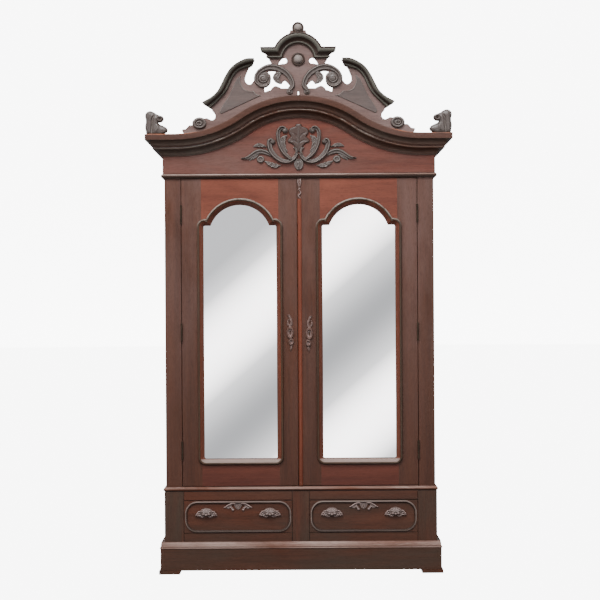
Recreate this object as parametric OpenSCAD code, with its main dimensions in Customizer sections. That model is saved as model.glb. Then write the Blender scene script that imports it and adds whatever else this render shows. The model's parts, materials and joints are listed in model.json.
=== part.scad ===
// Two-door mirrored armoire with an arched cornice, a pierced crest and two drawers in its base.
// Millimetres. +X is to the right, +Y to the back and +Z up; the origin is under the middle, on the floor.

/* [Overall] */
// Width of the upper cabinet across its front posts
body_w = 1322; // [1280:2:1400]
// Depth of the upper cabinet, front posts to back boards
body_d = 496; // [460:2:560]
// How far the base and the frieze stand out from the upper cabinet
step_out = 8; // [6:1:12]
// Thickness of the carcase boards
board_t = 24; // [20:1:28]

/* [Base] */
// Height of the block feet
foot_h = 17; // [12:1:40]
// Width and depth of one foot
foot_w = 103; // [80:1:120]
// Height of the plinth boards
plinth_h = 106; // [90:1:130]
// Thickness of the plinth boards
plinth_t = 20; // [16:1:24]
// Height of the moulding on top of the plinth
plinth_mould_h = 30; // [24:1:36]
// Height of the rail under the drawers
low_rail_h = 45; // [35:1:60]
// Height of a drawer opening
drawer_open_h = 160; // [155:1:185]
// Height of the rail over the drawers
up_rail_h = 46; // [35:1:60]
// Width of the outer stiles beside the drawers
base_stile_w = 94; // [84:1:100]
// Width of the stile between the drawers
mid_stile_w = 83; // [76:1:100]
// Height of the moulding between the base and the upper cabinet
waist_h = 22; // [18:1:28]

/* [Doors] */
// Height of the door space
door_space_h = 1514; // [1480:2:1600]
// Thickness of a door
door_t = 23; // [22:0.5:24]
// Gap round a door
door_gap = 3; // [3:0.5:4]
// Width of a front post
post_w = 79.5; // [76:0.5:84]
// Place of the joint between the doors, left of the middle
meet_x = 9.5; // [9:0.5:12]
// Distance of a mirror's middle from the middle of the cabinet
mirror_x = 292; // [286:1:296]
// Half the visible width of a mirror
sight_w = 179; // [165:1:182]
// Radius of the arch at a mirror's head
arch_r = 153; // [146:1:158]
// Width of the moulding round a mirror
frame_w = 33; // [28:1:34]

/* [Cornice] */
// Height of the frieze at the corners, from the door heads to the cornice
frieze_h = 108; // [90:1:130]
// Height of the cornice moulding
cornice_h = 104; // [100:1:110]
// Projection of the cornice moulding
cornice_out = 80; // [78:1:86]
// Rise of the arch in the cornice
arch_rise = 186; // [184:1:188]
// Distance from the middle to where the arch runs out flat
arch_span = 607; // [600:1:612]
// Radius of the crown of the arch, along the moulding's lower edge
crown_r = 423; // [415:1:430]

/* [Hidden] */
$fn = 64;
eps = 0.01;
// Running clearance between pieces that slide or turn in each other
play = 0.3;
// Hairline between fixed boards that meet in one frame
seam = 0.1;

half_body = body_w / 2;
half_step = half_body + step_out;
back_y = (body_d + step_out + cornice_out) / 2;
front_y = back_y - body_d;
step_y = front_y - step_out;

z_plinth = foot_h + plinth_h;
z_base = z_plinth + plinth_mould_h;
z_open = z_base + low_rail_h;
z_open_top = z_open + drawer_open_h;
z_waist = z_open_top + up_rail_h;
z_floor = z_waist + waist_h;
z_head = z_floor + door_space_h;
z_cornice = z_head + frieze_h;
z_end_top = z_cornice + cornice_h;
z_crown = z_end_top + arch_rise;

// Drawers
drawer_x = (mid_stile_w / 2 + half_step - base_stile_w) / 2;
drawer_w = half_step - base_stile_w - mid_stile_w / 2;
drawer_play = 1.5;
drawer_front_t = 22;
drawer_side_t = 12;
drawer_len = 440;
drawer_box_w = drawer_w - 10;
drawer_box_h = 128;
drawer_z0 = z_open + drawer_play;
drawer_z1 = z_open_top - drawer_play;
drawer_half = drawer_w / 2 - drawer_play;
pull_dx = 156;
pull_z = (drawer_z0 + drawer_z1) / 2 + 20;
key_z = drawer_z1 - 26;
runner_w = 30;
runner_h = 20;
base_back_t = 12;
front_back_y = step_y + board_t;

// Waist moulding and floor
waist_d = 30;
waist_out = 5;

// Upper cabinet
side_stile_w = 70;
side_rail_h = 100;
back_t = 12;
back_board_n = 8;
head_rail_h = 35;
head_rail_t = 22;
top_t = 18;
post_back_y = front_y + board_t;

// Shelf and rod
shelf_t = 20;
shelf_z = z_head - 220;
cleat_h = 80;
rod_r = 15;
rod_y = (front_y + back_y) / 2;
rod_z = shelf_z - 40;

// Doors
door_z0 = z_floor + door_gap;
door_z1 = z_head - door_gap;
door_back_y = front_y + door_t;
post_in = half_body - post_w;
hinge_edge = post_in - door_gap;
sight_z0 = door_z0 + 134;
ear_z = door_z0 + 1279;
arch_z = ear_z - 52;
rebate = 11;
glass_t = 4;
glass_y = front_y + 14;
corner_r = 7;
frame_out = 14;

// Hinges
pin_x = post_in - door_gap / 2;
pin_y = front_y - 5.5;
pin_r = 2.2;
pin_play = 0.08;
knuckle_r = 4.5;
knuckle_h = 18;
knuckle_n = 5;
leaf_t = 1.2;
leaf_d = 20;
hinge_h = knuckle_h * knuckle_n;
hinge_zs = [for (k = [-1:1]) (door_z0 + door_z1) / 2 + k * 580 - hinge_h / 2];

// Lock and bolts
lock_z = door_z0 + 745;
lock_w = 65;
lock_h = 90;
lock_t = 12;
lock_bolt_h = 20;
lock_bolt_t = 7;
lock_throw = 12;
key_x = 47;
bolt_x = -40;
bolt_y = front_y + 10;
bolt_r = 3.5;
bolt_len = 130;
bolt_throw = 18;
bolt_knob_z = 60;
plate_w = 22;
plate_len = 150;
plate_t = 2;

// Cornice arch: a crown arc and a hollow arc meet where their tangents agree
arc_sum = (arch_span * arch_span + arch_rise * arch_rise) / (2 * arch_rise);
hollow_r = arc_sum - crown_r;
arc_a = asin(arch_span / arc_sum);
crown_z = z_cornice + arch_rise - crown_r;
hollow_z = z_cornice + hollow_r;

// Crest, measured from the middle of the cornice top
crest_t = 24;
crest_y = step_y - 28;
hood_z = 179;
hood_r = 128;
hood_w = 54;
hood_out = 45;
hood_ear = 185;
hood_ear_top = 56;
roundel_z = 333;
turning_r = 29.5;
rosette_at = [484, -131];
neck_outer = [[215, 181], [255, 179], [300, 158], [331, 132], [355, 96], [373, 60], [394, 22], [425, -7],
    [469, -32]];
neck_inner = [[223, 150], [248, 140], [285, 128], [309, 106], [324, 81], [338, 50], [356, 18], [388, -18],
    [432, -60]];

// ---------- Helpers ----------

// Points on an arc, as a list
function arc(c, r, a0, a1, n = 6) = [for (k = [0:n]) let(a = a0 + (a1 - a0) * k / n) c + r * [cos(a), sin(a)]];

// One point of a smooth curve through the list p, after point i
function curve_point(p, i, t) =
    let(last = len(p) - 1, a = p[max(i - 1, 0)], b = p[i], c = p[min(i + 1, last)], d = p[min(i + 2, last)])
    0.5 * (2 * b + (c - a) * t + (2 * a - 5 * b + 4 * c - d) * t * t + (3 * b - a - 3 * c + d) * t * t * t);

// A smooth curve through the points of p, with n steps between two points
function smooth(p, n = 3) =
    concat([for (i = [0:len(p) - 2]) for (k = [0:n - 1]) curve_point(p, i, k / n)], [p[len(p) - 1]]);

function reversed(p) = [for (k = [len(p) - 1:-1:0]) p[k]];

// Outline of a ribbon whose middle and half width are the three numbers of each point
function ribbon(c, n = 3) =
    let(s = smooth(c, n), last = len(s) - 1,
        side = [for (i = [0:last]) let(a = s[max(i - 1, 0)], b = s[min(i + 1, last)], l = norm([b[0] - a[0],
            b[1] - a[1]])) [a[1] - b[1], b[0] - a[0]] * s[i][2] / l])
    concat([for (i = [0:last]) [s[i][0], s[i][1]] + side[i]],
        [for (i = [last:-1:0]) [s[i][0], s[i][1]] - side[i]]);

// Outline of a leaf from a to b with width w across its middle
function leaf(a, b, w, n = 5) =
    let(d = b - a, l = norm(d), u = d / l, v = [-u[1], u[0]])
    concat([for (k = [0:n]) a + d * k / n + v * w / 2 * sin(180 * k / n)],
        [for (k = [n - 1:-1:1]) a + d * k / n - v * w / 2 * sin(180 * k / n)]);

// A box from its lowest corner and its highest corner
module block(low, high) {
    translate(low) cube(high - low);
}

// The children, and their mirror image across the middle
module both() {
    children();
    mirror([1, 0, 0]) children();
}

// An outline drawn in X and Z, from y0 back to y1
module slab(y0, y1) {
    translate([0, y1, 0]) rotate([90, 0, 0]) linear_extrude(height = y1 - y0) children();
}

// A profile of (out, up) points run round the front and both sides, mitred at the corners
module run_round(half_w, face_y, z) {
    reach = 200;
    for (s = [-1, 1])
        intersection() {
            translate([s * half_w, back_y, z]) rotate([90, 0, 0])
                linear_extrude(height = back_y - face_y + reach) scale([s, 1]) children();
            translate([0, 0, z - reach]) linear_extrude(height = 2 * reach)
                polygon([[s * half_w, face_y + seam], [s * (half_w + reach), face_y - reach + seam],
                    [s * (half_w + reach), back_y], [s * half_w, back_y]]);
        }
    run_front(half_w, face_y, z, -half_w - reach, half_w + reach) children();
}

// The front run of such a profile, from x0 to x1, cut at the mitres
module run_front(half_w, face_y, z, x0, x1) {
    reach = 200;
    intersection() {
        translate([x0, face_y, z]) rotate([90, 0, 90]) linear_extrude(height = x1 - x0)
            mirror([1, 0]) children();
        translate([0, 0, z - reach]) linear_extrude(height = 2 * reach)
            polygon([[-half_w, face_y], [-half_w - reach, face_y - reach],
                [half_w + reach, face_y - reach], [half_w, face_y]]);
    }
}

// A rectangle with round corners, from its lowest to its highest corner
module round_rect(low, high, r) {
    translate([low[0] + r, low[1]]) square([high[0] - low[0] - 2 * r, high[1] - low[1]]);
    translate([low[0], low[1] + r]) square([high[0] - low[0], high[1] - low[1] - 2 * r]);
    for (x = [low[0] + r, high[0] - r])
        for (z = [low[1] + r, high[1] - r])
            translate([x, z]) circle(r);
}

// ---------- Base ----------

module feet() {
    color("saddlebrown") both()
        for (y = [step_y - plinth_t - 7, back_y - foot_w])
            block([half_step + plinth_t + 7 - foot_w, y, 0],
                [half_step + plinth_t + 7, y + foot_w, foot_h]);
}

module plinth_boards() {
    color("#4a2420") run_round(half_step, step_y, foot_h) square([plinth_t, plinth_h]);
}

module plinth_moulding() {
    // A round edge over a small fillet, then a hollow up to the base
    r = plinth_mould_h / 2 - 4;
    color("#5c2b26") run_round(half_step, step_y, z_plinth)
        polygon(concat([[0, 0]], arc([plinth_t - r + 3, r], r, -90, 90),
            [[plinth_t - r, 2 * r]], arc([plinth_t - r, plinth_mould_h - 2], 6, -90, -180, 4),
            [[plinth_t - r - 6, plinth_mould_h], [0, plinth_mould_h]]));
}

module base_stiles() {
    color("#43201c") {
        both() block([half_step - base_stile_w, step_y, foot_h], [half_step, front_back_y, z_waist]);
        block([-mid_stile_w / 2, step_y, z_plinth], [mid_stile_w / 2, front_back_y, z_waist]);
    }
}

module base_rails() {
    color("#3d1d1a") both()
        for (z = [[z_plinth, z_open], [z_open_top, z_waist]])
            block([mid_stile_w / 2, step_y, z[0]], [half_step - base_stile_w, front_back_y, z[1]]);
}

module base_panels() {
    color("#43201c") {
        both() block([half_step - board_t, front_back_y, foot_h], [half_step, back_y, z_waist]);
        block([board_t + seam - half_step, back_y - base_back_t, foot_h],
            [half_step - board_t - seam, back_y, z_waist]);
    }
}

module drawer_runners() {
    guide = drawer_box_w / 2 + 1;
    back = back_y - base_back_t;
    color("burlywood") both()
        for (s = [-1, 1])
            translate([drawer_x, 0, 0]) scale([s, 1, 1]) {
                block([guide - runner_w + 12, front_back_y, z_open - runner_h],
                    [guide + 12, back, z_open]);
                block([guide, front_back_y, z_open], [guide + 12, back, z_open + 16]);
            }
}

module waist_moulding() {
    nose = waist_h / 2;
    color("#6b332c") difference() {
        run_round(half_step + waist_out - waist_d, step_y - waist_out + waist_d, z_waist)
            polygon(concat([[0, 0], [waist_d - 8, 0]], arc([waist_d - 8, nose - 3], nose - 3, -90, 60, 8),
                [[waist_d - 8, waist_h - 1], [waist_d - 9, waist_h], [0, waist_h]]));
        translate([bolt_x, bolt_y, z_floor - bolt_throw - 2]) cylinder(r = bolt_r + 1, h = bolt_throw + 3);
    }
}

module cabinet_floor() {
    half = half_step + waist_out - waist_d;
    color("#7a4a34") block([-half, step_y - waist_out + waist_d, z_waist], [half, back_y, z_floor]);
}

// ---------- Upper cabinet ----------

module front_posts() {
    color("#43201c") both() block([post_in, front_y, z_floor], [half_body, post_back_y, z_head]);
}

module side_frames() {
    x = half_body - board_t;
    color("#43201c") both() {
        for (y = [post_back_y, back_y - side_stile_w])
            block([x, y, z_floor], [half_body, y + side_stile_w, z_head]);
        for (z = [z_floor, z_head - side_rail_h])
            block([x, post_back_y + side_stile_w + seam, z],
                [half_body, back_y - side_stile_w - seam, z + side_rail_h]);
    }
}

module side_panels() {
    color("#552a22") both()
        block([half_body - board_t + 7, post_back_y + side_stile_w, z_floor + side_rail_h],
            [half_body - 7, back_y - side_stile_w, z_head - side_rail_h]);
}

module back_boards() {
    half = half_body - board_t;
    step = 2 * half / back_board_n;
    color("peru")
        for (k = [0:back_board_n - 1])
            block([-half + k * step + 0.5, back_y - back_t, z_floor],
                [-half + (k + 1) * step - 0.5, back_y, z_head]);
}

module door_head_rail() {
    half = half_body - board_t;
    color("burlywood") block([-half, post_back_y, z_head - head_rail_h],
        [half, post_back_y + head_rail_t, z_head]);
}

module case_top() {
    half = half_step - board_t;
    color("burlywood") block([-half, front_back_y, z_head], [half, back_y - base_back_t, z_head + top_t]);
}

module hat_shelf() {
    half = half_body - board_t;
    color("burlywood") block([-half, post_back_y + 20, shelf_z], [half, back_y - back_t, shelf_z + shelf_t]);
}

module shelf_cleats() {
    x = half_body - board_t;
    color("burlywood") both()
        difference() {
            block([x - 24, post_back_y + 10, shelf_z - cleat_h], [x, back_y - back_t, shelf_z]);
            translate([x - 24 - eps, rod_y, rod_z]) rotate([0, 90, 0]) cylinder(r = rod_r + play, h = 12);
        }
}

module hanging_rod() {
    half = half_body - board_t - 13;
    color("sienna") translate([-half, rod_y, rod_z]) rotate([0, 90, 0]) cylinder(r = rod_r, h = 2 * half);
}

// ---------- Cornice ----------

// Points on the arch, d above its lower edge, from -x1 to x1
function arch_points(d, x1, n = 48) = [for (k = [0:n]) let(x = -x1 + 2 * x1 * k / n) [x, arch_height(x, d)]];

// Height of the arch at x, on a line parallel to its lower edge and d above it
function arch_height(x, d) =
    let(a = abs(x))
    a < (crown_r + d) * sin(arc_a) ? crown_z + sqrt(pow(crown_r + d, 2) - a * a) :
    a < arch_span ? hollow_z - sqrt(pow(hollow_r - d, 2) - pow(arch_span - a, 2)) :
    z_cornice + d;

module frieze_boards() {
    half = half_step - board_t;
    color("#7c3a30") {
        difference() {
            slab(step_y, front_back_y)
                polygon(concat([[half_step, z_head], [-half_step, z_head]],
                    [[-half_step, z_end_top]], arch_points(cornice_h, arch_span), [[half_step, z_end_top]]));
            translate([bolt_x, bolt_y, z_head - eps]) cylinder(r = bolt_r + 1, h = bolt_throw + 4);
        }
        both() block([half, front_back_y + seam, z_head], [half_step, back_y, z_end_top]);
        block([seam - half, back_y - base_back_t, z_head], [half - seam, back_y, z_end_top]);
    }
}

module frieze_bead() {
    r = 11.5;
    color("#8a4a3a") run_round(half_step, step_y, z_head)
        polygon(concat([[0, 0]], arc([r - 14, r], r * 0.9, -60, 60, 8) , [[0, 2 * r]]));
}

// Cornice section as (out, up): fillet, cove, bead, fascia, large cove and top fillet
function cornice_profile() =
    let(o = cornice_out, h = cornice_h)
    concat([[0, 0], [6, 0], [6, 6], [10, 6]], arc([34, 6], 24, 180, 90, 5), arc([38, 36], 6, -90, 90, 6),
        [[45, 42], [45, 52], [o - 32, 52]], arc([o - 4, 52], 28, 180, 90, 6),
        [[o, 80], [o, h], [0, h]]);

// One arc of the cornice about the centre c: its section p, from the angle from_a on over a degrees
module cornice_arc(c, from_a, a, p) {
    hair_a = 0.01;
    translate([c[0], step_y, c[1]]) rotate([90, 0, 0]) rotate([0, 0, from_a + hair_a])
        rotate_extrude(angle = a - 2 * hair_a, $fn = 180) polygon(p);
}

// The moulding in seven lengths: a crown arc, two hollow arcs, two level ends and two side returns
module cornice_moulding() {
    p = cornice_profile();
    color("#4e2622") {
        cornice_arc([0, crown_z], 90 - arc_a, 2 * arc_a, [for (q = p) [crown_r + q[1], q[0]]]);
        both() {
            cornice_arc([arch_span, hollow_z], -90 - arc_a, arc_a, [for (q = p) [hollow_r - q[1], q[0]]]);
            run_front(half_step, step_y, z_cornice, arch_span + seam, half_step + cornice_out + 1) polygon(p);
            intersection() {
                translate([half_step, back_y, z_cornice]) rotate([90, 0, 0])
                    linear_extrude(height = back_y - step_y + cornice_out) polygon(p);
                translate([0, 0, z_cornice - 1]) linear_extrude(height = cornice_h + 2)
                    polygon([[half_step, step_y + seam], [half_step + cornice_out, step_y - cornice_out + seam],
                        [half_step + cornice_out, back_y], [half_step, back_y]]);
            }
        }
    }
}

// Carved spray on the frieze, drawn about the middle of the cornice's lower edge
module frieze_carving() {
    inner = [[52, -52, 10], [76, -48, 12], [96, -66, 12], [106, -92, 12], [100, -121, 12], [82, -147, 12],
        [57, -169, 12], [18, -192, 10]];
    outer = [[134, -102, 8], [150, -120, 11], [150, -146, 13], [134, -175, 13],
        [108, -203, 12], [78, -218, 11], [46, -222, 10], [18, -208, 8]];
    stem = [[136, -184, 8], [161, -164, 9], [186, -160, 10], [210, -170, 9], [238, -188, 8], [272, -195, 5]];
    top = z_cornice + arch_rise;
    color("#5a4038") slab(step_y - 16, step_y)
        translate([0, top]) {
            polygon(leaf([0, -130], [0, -32], 60));
            translate([0, -212]) circle(22);
            polygon(leaf([0, -256], [0, -196], 40));
            for (s = [-1, 1])
                scale([s, 1]) {
                    polygon(ribbon(inner));
                    polygon(ribbon(outer));
                    polygon(ribbon(stem));
                    translate([128, -106]) circle(12);
                    polygon(leaf([30, -96], [58, -140], 40));
                    translate([194, -206]) circle(18);
                    polygon(leaf([70, -226], [170, -218], 30));
                    polygon(leaf([158, -146], [222, -136], 18));
                }
        }
}

module corner_finials() {
    x = half_step + cornice_out;
    curl = smooth([[-34, 105], [-50, 94], [-69, 84], [-84, 74], [-87, 63], [-80, 55], [-70, 49], [-78, 40],
        [-93, 32], [-107, 21], [-103, 0]]);
    color("#5a4038") both()
        slab(step_y - cornice_out + 6, step_y - cornice_out + 66)
            translate([x, z_end_top])
                polygon(concat([[-2, 0], [-1, 60], [-2, 92], [-10, 108], [-22, 113]], curl));
}

// ---------- Crest ----------

// Outline of the right half of the pierced crest board, from the top round to the foot
function crest_half() =
    let(foot = [for (x = [550:-20:10]) [x, arch_height(x, cornice_h + play) - z_crown]])
    concat([[38, 322], [41, 309], [50, 303], [54, 292]],
        arc([0, hood_z], hood_r - 4, 62, 27, 5),
        [[hood_ear - 43, hood_z + 52], [hood_ear - 43, hood_z], [133, 165]],
        smooth([[128, 156], [147, 157], [177, 145], [201, 125], [214, 101], [216, 80], [231, 60],
            [245, 59], [258, 72], [260, 92], [250, 120], [240, 140], [224, 150]]),
        [[216, 170]],
        smooth([for (q = neck_outer) q + [-3, -4]]),
        [[424, -62], [421, -71]],
        smooth([[421, -71], [408, -88], [409, -106], [424, -116], [447, -105]]),
        arc(rosette_at, 30, 130, 0, 6),
        [[520, -139], [535, -140], [552, -158], [567, -160], [571, -164], [566, -176]],
        foot);

// The scroll's pierced opening, and the small eye over it
module crest_openings() {
    polygon(concat(
        smooth([[101, 116], [116, 122], [133, 123], [150, 119], [136, 104], [133, 84], [142, 64], [160, 50]]),
        [[167, 42], [164, 20], [150, 26], [135, 30]],
        smooth([[130, 39], [113, 50], [93, 44], [84, 38]]),
        [[39, 38]],
        smooth([[37, 47], [52, 64], [66, 76], [74, 71], [84, 60], [103, 66], [107, 79], [120, 84],
            [108, 98], [98, 108]])));
    translate([69, 173]) circle(15);
    polygon([[76, 158], [98, 154], [90, 172], [76, 186]]);
}

module crest_board() {
    color("#4c332e") slab(crest_y, crest_y + crest_t)
        translate([0, z_crown])
            difference() {
                union() {
                    polygon(concat(crest_half(), [for (q = reversed(crest_half())) [-q[0], q[1]]]));
                    translate([0, roundel_z]) circle(turning_r - 4);
                }
                crest_openings();
                mirror([1, 0]) crest_openings();
                translate([-2.5, 4]) square([5, 20]);
            }
}

module crest_wing_panels() {
    color("#5d4038") both()
        slab(crest_y - 5, crest_y)
            translate([0, z_crown])
                polygon(concat([[378, -86], [192, -1], [176, 2]],
                    smooth([[176, 2], [205, 10], [219, 24], [238, 25], [262, 32], [276, 50], [284, 76],
                        [279, 104]]),
                    [[300, 86], [318, 50], [340, 2], [372, -46], [386, -72]]));
}

// The wing's upper edge moulding, in three steps from its outer edge inwards
module crest_swan_mouldings() {
    steps = [[0, 0.3, 45], [0.3, 0.7, 28], [0.7, 1, 12]];
    color("#4e2622") both()
        for (s = steps)
            slab(crest_y - s[2], crest_y)
                translate([0, z_crown])
                    polygon(concat(smooth(between(s[0])), reversed(smooth(between(s[1])))));
}

// Points part of the way from the moulding's outer edge to its inner edge
function between(t) = [for (k = [0:len(neck_outer) - 1]) neck_outer[k] * (1 - t) + neck_inner[k] * t];

// Carved C scrolls: a ribbon from the foot volute up and round into the large volute
module crest_scrolls() {
    band = [[40, 34, 11], [28, 54, 12], [38, 87, 13], [62, 116, 14], [96, 135, 15], [130, 139, 16],
        [162, 130, 16], [184, 112, 15]];
    color("#5d4038") both()
        slab(crest_y - 16, crest_y)
            translate([0, z_crown]) {
                polygon(ribbon(band));
                translate([42, 20]) circle(17);
                translate([173, 86]) circle(40);
            }
}

// Section of the hood as (inwards from its outer edge, out)
function hood_profile() =
    concat([[0, 0], [0, hood_out], [12, hood_out]], arc([12, hood_out - 28], 25, 90, 0, 5),
        [[45, 14], [45, 8], [hood_w, 6], [hood_w, 0]]);

// Hood over the boss: an arch between two level ears
module crest_hood_moulding() {
    p = hood_profile();
    edge_a = asin(hood_ear_top / hood_r);
    outer_x = hood_r * cos(edge_a);
    in_r = hood_r - hood_w;
    color("#4e2622") translate([0, crest_y, z_crown + hood_z]) {
        rotate([90, 0, 0]) rotate([0, 0, edge_a])
            rotate_extrude(angle = 180 - 2 * edge_a, $fn = 96) polygon([for (q = p) [hood_r - q[0], q[1]]]);
        both() intersection() {
            rotate([90, 0, 90]) linear_extrude(height = hood_ear)
                polygon([for (q = p) [-q[1], hood_ear_top - q[0]]]);
            slab(-hood_out - 1, 1)
                polygon([[in_r * cos(edge_a) + seam, in_r * sin(edge_a)], [outer_x + seam, hood_ear_top],
                    [hood_ear, hood_ear_top], [hood_ear, hood_ear_top - 10],
                    [hood_ear - 12, hood_ear_top - 34], [hood_ear - 45, hood_ear_top - hood_w],
                    [in_r, hood_ear_top - hood_w]]);
        }
    }
}

// Turned boss, rosettes, and a roundel coped over the top of the hood
module crest_turnings() {
    color("#6b5048") translate([0, crest_y, z_crown]) {
        translate([0, 0, hood_z]) turned_button(turning_r);
        difference() {
            translate([0, 0, roundel_z]) turned_button(turning_r);
            translate([0, 1, hood_z]) rotate([90, 0, 0]) cylinder(r = hood_r + play, h = hood_out);
        }
        both() translate([rosette_at[0], 0, rosette_at[1]]) turned_button(turning_r);
    }
}

// A round turned button with its back on the plane y = 0, facing -Y
module turned_button(r) {
    rotate([90, 0, 0]) rotate_extrude()
        polygon(concat([[0, 0], [r, 0], [r, 8]], arc([r - 6, 8], 6, 0, 90, 4),
            [[r * 0.6, 12]], arc([0, 6], r * 0.62, 24, 90, 6)));
}

// ---------- Doors ----------

// Visible outline of a mirror grown by d, about the middle of its door
module sight(d) {
    r = corner_r + d;
    round_rect([-sight_w - d, sight_z0 - d], [sight_w + d, ear_z + d], r);
    translate([0, arch_z]) circle(arch_r + d, $fn = 120);
}

function free_edge(side) = side < 0 ? -meet_x - door_gap / 2 : -meet_x + door_gap / 2;

// The two stiles of a door, which have no cuts yet
module plain_stiles(side) {
    opening = sight_w + rebate;
    block([min(free_edge(side), side * (mirror_x - opening)), front_y, door_z0],
        [max(free_edge(side), side * (mirror_x - opening)), door_back_y, door_z1]);
    block([min(side * hinge_edge, side * (mirror_x + opening)), front_y, door_z0],
        [max(side * hinge_edge, side * (mirror_x + opening)), door_back_y, door_z1]);
}

module door_rails(side) {
    opening = sight_w + rebate;
    r = corner_r + rebate;
    color("#6b3029") translate([side * mirror_x, 0, 0]) slab(front_y, door_back_y)
        difference() {
            union() {
                translate([-opening, door_z0]) square([2 * opening, sight_z0 - rebate + r - door_z0]);
                translate([-opening, ear_z + rebate - r])
                    square([2 * opening, door_z1 - ear_z - rebate + r]);
            }
            sight(rebate);
        }
}

module door_mirror(side) {
    color("lightsteelblue") translate([side * mirror_x, 0, 0]) slab(glass_y, glass_y + glass_t)
        sight(rebate - 0.5);
}

module door_back(side) {
    color("burlywood") translate([side * mirror_x, 0, 0]) slab(glass_y + glass_t, door_back_y)
        sight(rebate - 0.5);
}

// Moulding round the mirror: an outer lip on the face, a raised ridge and an inner lip to the glass
module door_moulding(side) {
    color("#4e2622") translate([side * mirror_x, 0, 0]) {
        slab(front_y - 8, front_y) difference() {
            sight(frame_w);
            sight(0);
        }
        slab(front_y - frame_out, front_y - 8) difference() {
            sight(frame_w - 7);
            sight(8);
        }
        slab(front_y, glass_y) difference() {
            sight(rebate - 0.5);
            sight(0);
        }
    }
}

// Where hinge leaf k belongs: true for the knuckles of the door's leaf
function on_door(k) = k % 2 == 1;

// One half of a butt hinge; side_x is the side of the pin its leaf lies on
module hinge_half(side_x, of_door) {
    edge = door_gap / 2;
    low = side_x < 0 ? -edge : edge - leaf_t;
    block([low, front_y - pin_y, 0], [low + leaf_t, front_y - pin_y + leaf_d, hinge_h]);
    for (k = [0:knuckle_n - 1])
        if (on_door(k) == of_door)
            difference() {
                union() {
                    translate([0, 0, k * knuckle_h + play / 2])
                        cylinder(r = knuckle_r, h = knuckle_h - play);
                    block([low, 0, k * knuckle_h + play / 2],
                        [low + leaf_t, front_y - pin_y + 1, (k + 1) * knuckle_h - play / 2]);
                }
                translate([0, 0, k * knuckle_h - 1])
                    cylinder(r = of_door ? pin_r + pin_play : pin_r, h = knuckle_h + 2);
            }
}

module post_hinge_leaves() {
    color("darkgoldenrod") both()
        for (z = hinge_zs)
            translate([pin_x, pin_y, z]) {
                hinge_half(1, false);
                cylinder(r = pin_r, h = hinge_h);
            }
}

module door_hinges(side) {
    color("darkgoldenrod")
        for (z = hinge_zs)
            translate([side * pin_x, pin_y, z]) hinge_half(-side, true);
}

// Carved keyhole plate: two rings on a stem with a pointed leaf at each end
module escutcheon(x) {
    color("#5d4038") slab(front_y - 10, front_y)
        translate([x, lock_z + 6])
            difference() {
                union() {
                    round_rect([-20, -30], [20, 30], 19);
                    translate([0, -42]) circle(17);
                    polygon(ribbon([[0, 16, 8], [-8, 46, 8], [6, 66, 9], [-4, 84, 6], [4, 98, 2]]));
                    polygon(ribbon([[0, -50, 8], [6, -72, 7], [-2, -92, 2]]));
                }
                keyhole();
            }
}

// A keyhole: a round hole over a slot
module keyhole() {
    circle(3.5);
    translate([-1.5, -12]) square([3, 12]);
}

// Channels for one flush bolt: its bore, the slot for its knob and the plate's recess
module bolt_channel(up) {
    z = up ? door_z1 : door_z0;
    s = up ? -1 : 1;
    low = min(z + s * (bolt_len + 40), z - s);
    translate([bolt_x, bolt_y, low]) cylinder(r = bolt_r + play, h = bolt_len + 41);
    block([bolt_x - 4, bolt_y, min(z + s * 36, z + s * 86)],
        [bolt_x + 4, door_back_y + 1, max(z + s * 36, z + s * 86)]);
    block([bolt_x - plate_w / 2, door_back_y - plate_t, min(z - s, z + s * plate_len)],
        [bolt_x + plate_w / 2, door_back_y + 1, max(z - s, z + s * plate_len)]);
}

module left_door_stiles() {
    mortise = lock_throw + 2;
    edge = free_edge(-1);
    color("#43201c") difference() {
        plain_stiles(-1);
        bolt_channel(true);
        bolt_channel(false);
        block([edge - mortise, lock_mid_y() - lock_bolt_t / 2 - 1, lock_z - lock_bolt_h / 2 - 2],
            [edge + 1, lock_mid_y() + lock_bolt_t / 2 + 1, lock_z + lock_bolt_h / 2 + 2]);
    }
}

// Middle of the lock bolt in the thickness of the door
function lock_mid_y() = door_back_y - 6.5;

module right_door_stiles() {
    edge = free_edge(1);
    color("#43201c") difference() {
        plain_stiles(1);
        block([edge - 1, door_back_y - lock_t, lock_z - lock_h / 2],
            [edge + lock_w, door_back_y + 1, lock_z + lock_h / 2]);
        slab(front_y - 1, door_back_y) translate([key_x, lock_z + 6]) keyhole();
    }
}

// Plates of the two flush bolts, with the slots their knobs slide in
module bolt_plates() {
    color("dimgray")
        for (s = [-1, 1]) {
            z = s < 0 ? door_z1 - plate_len : door_z0;
            knob = s < 0 ? door_z1 - 86 : door_z0 + 36;
            difference() {
                block([bolt_x - plate_w / 2 + play, door_back_y - plate_t, z],
                    [bolt_x + plate_w / 2 - play, door_back_y, z + plate_len]);
                block([bolt_x - 4, door_back_y - plate_t - 1, knob], [bolt_x + 4, door_back_y + 1, knob + 50]);
            }
        }
}

// A flush bolt drawn back: its rod and its thumb knob, which passes through the plate
module flush_bolt(up) {
    tip = up ? door_z1 - 2 : door_z0 + 2;
    knob = up ? door_z1 - bolt_knob_z - 16 : door_z0 + bolt_knob_z + 16;
    color("dimgray") {
        translate([bolt_x, bolt_y, up ? tip - bolt_len : tip]) cylinder(r = bolt_r, h = bolt_len);
        translate([bolt_x, bolt_y, knob]) rotate([-90, 0, 0])
            cylinder(r = 3, h = door_back_y - bolt_y + 3);
        translate([bolt_x, door_back_y + 3, knob]) rotate([-90, 0, 0]) cylinder(r = 7, h = 7);
    }
}

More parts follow.
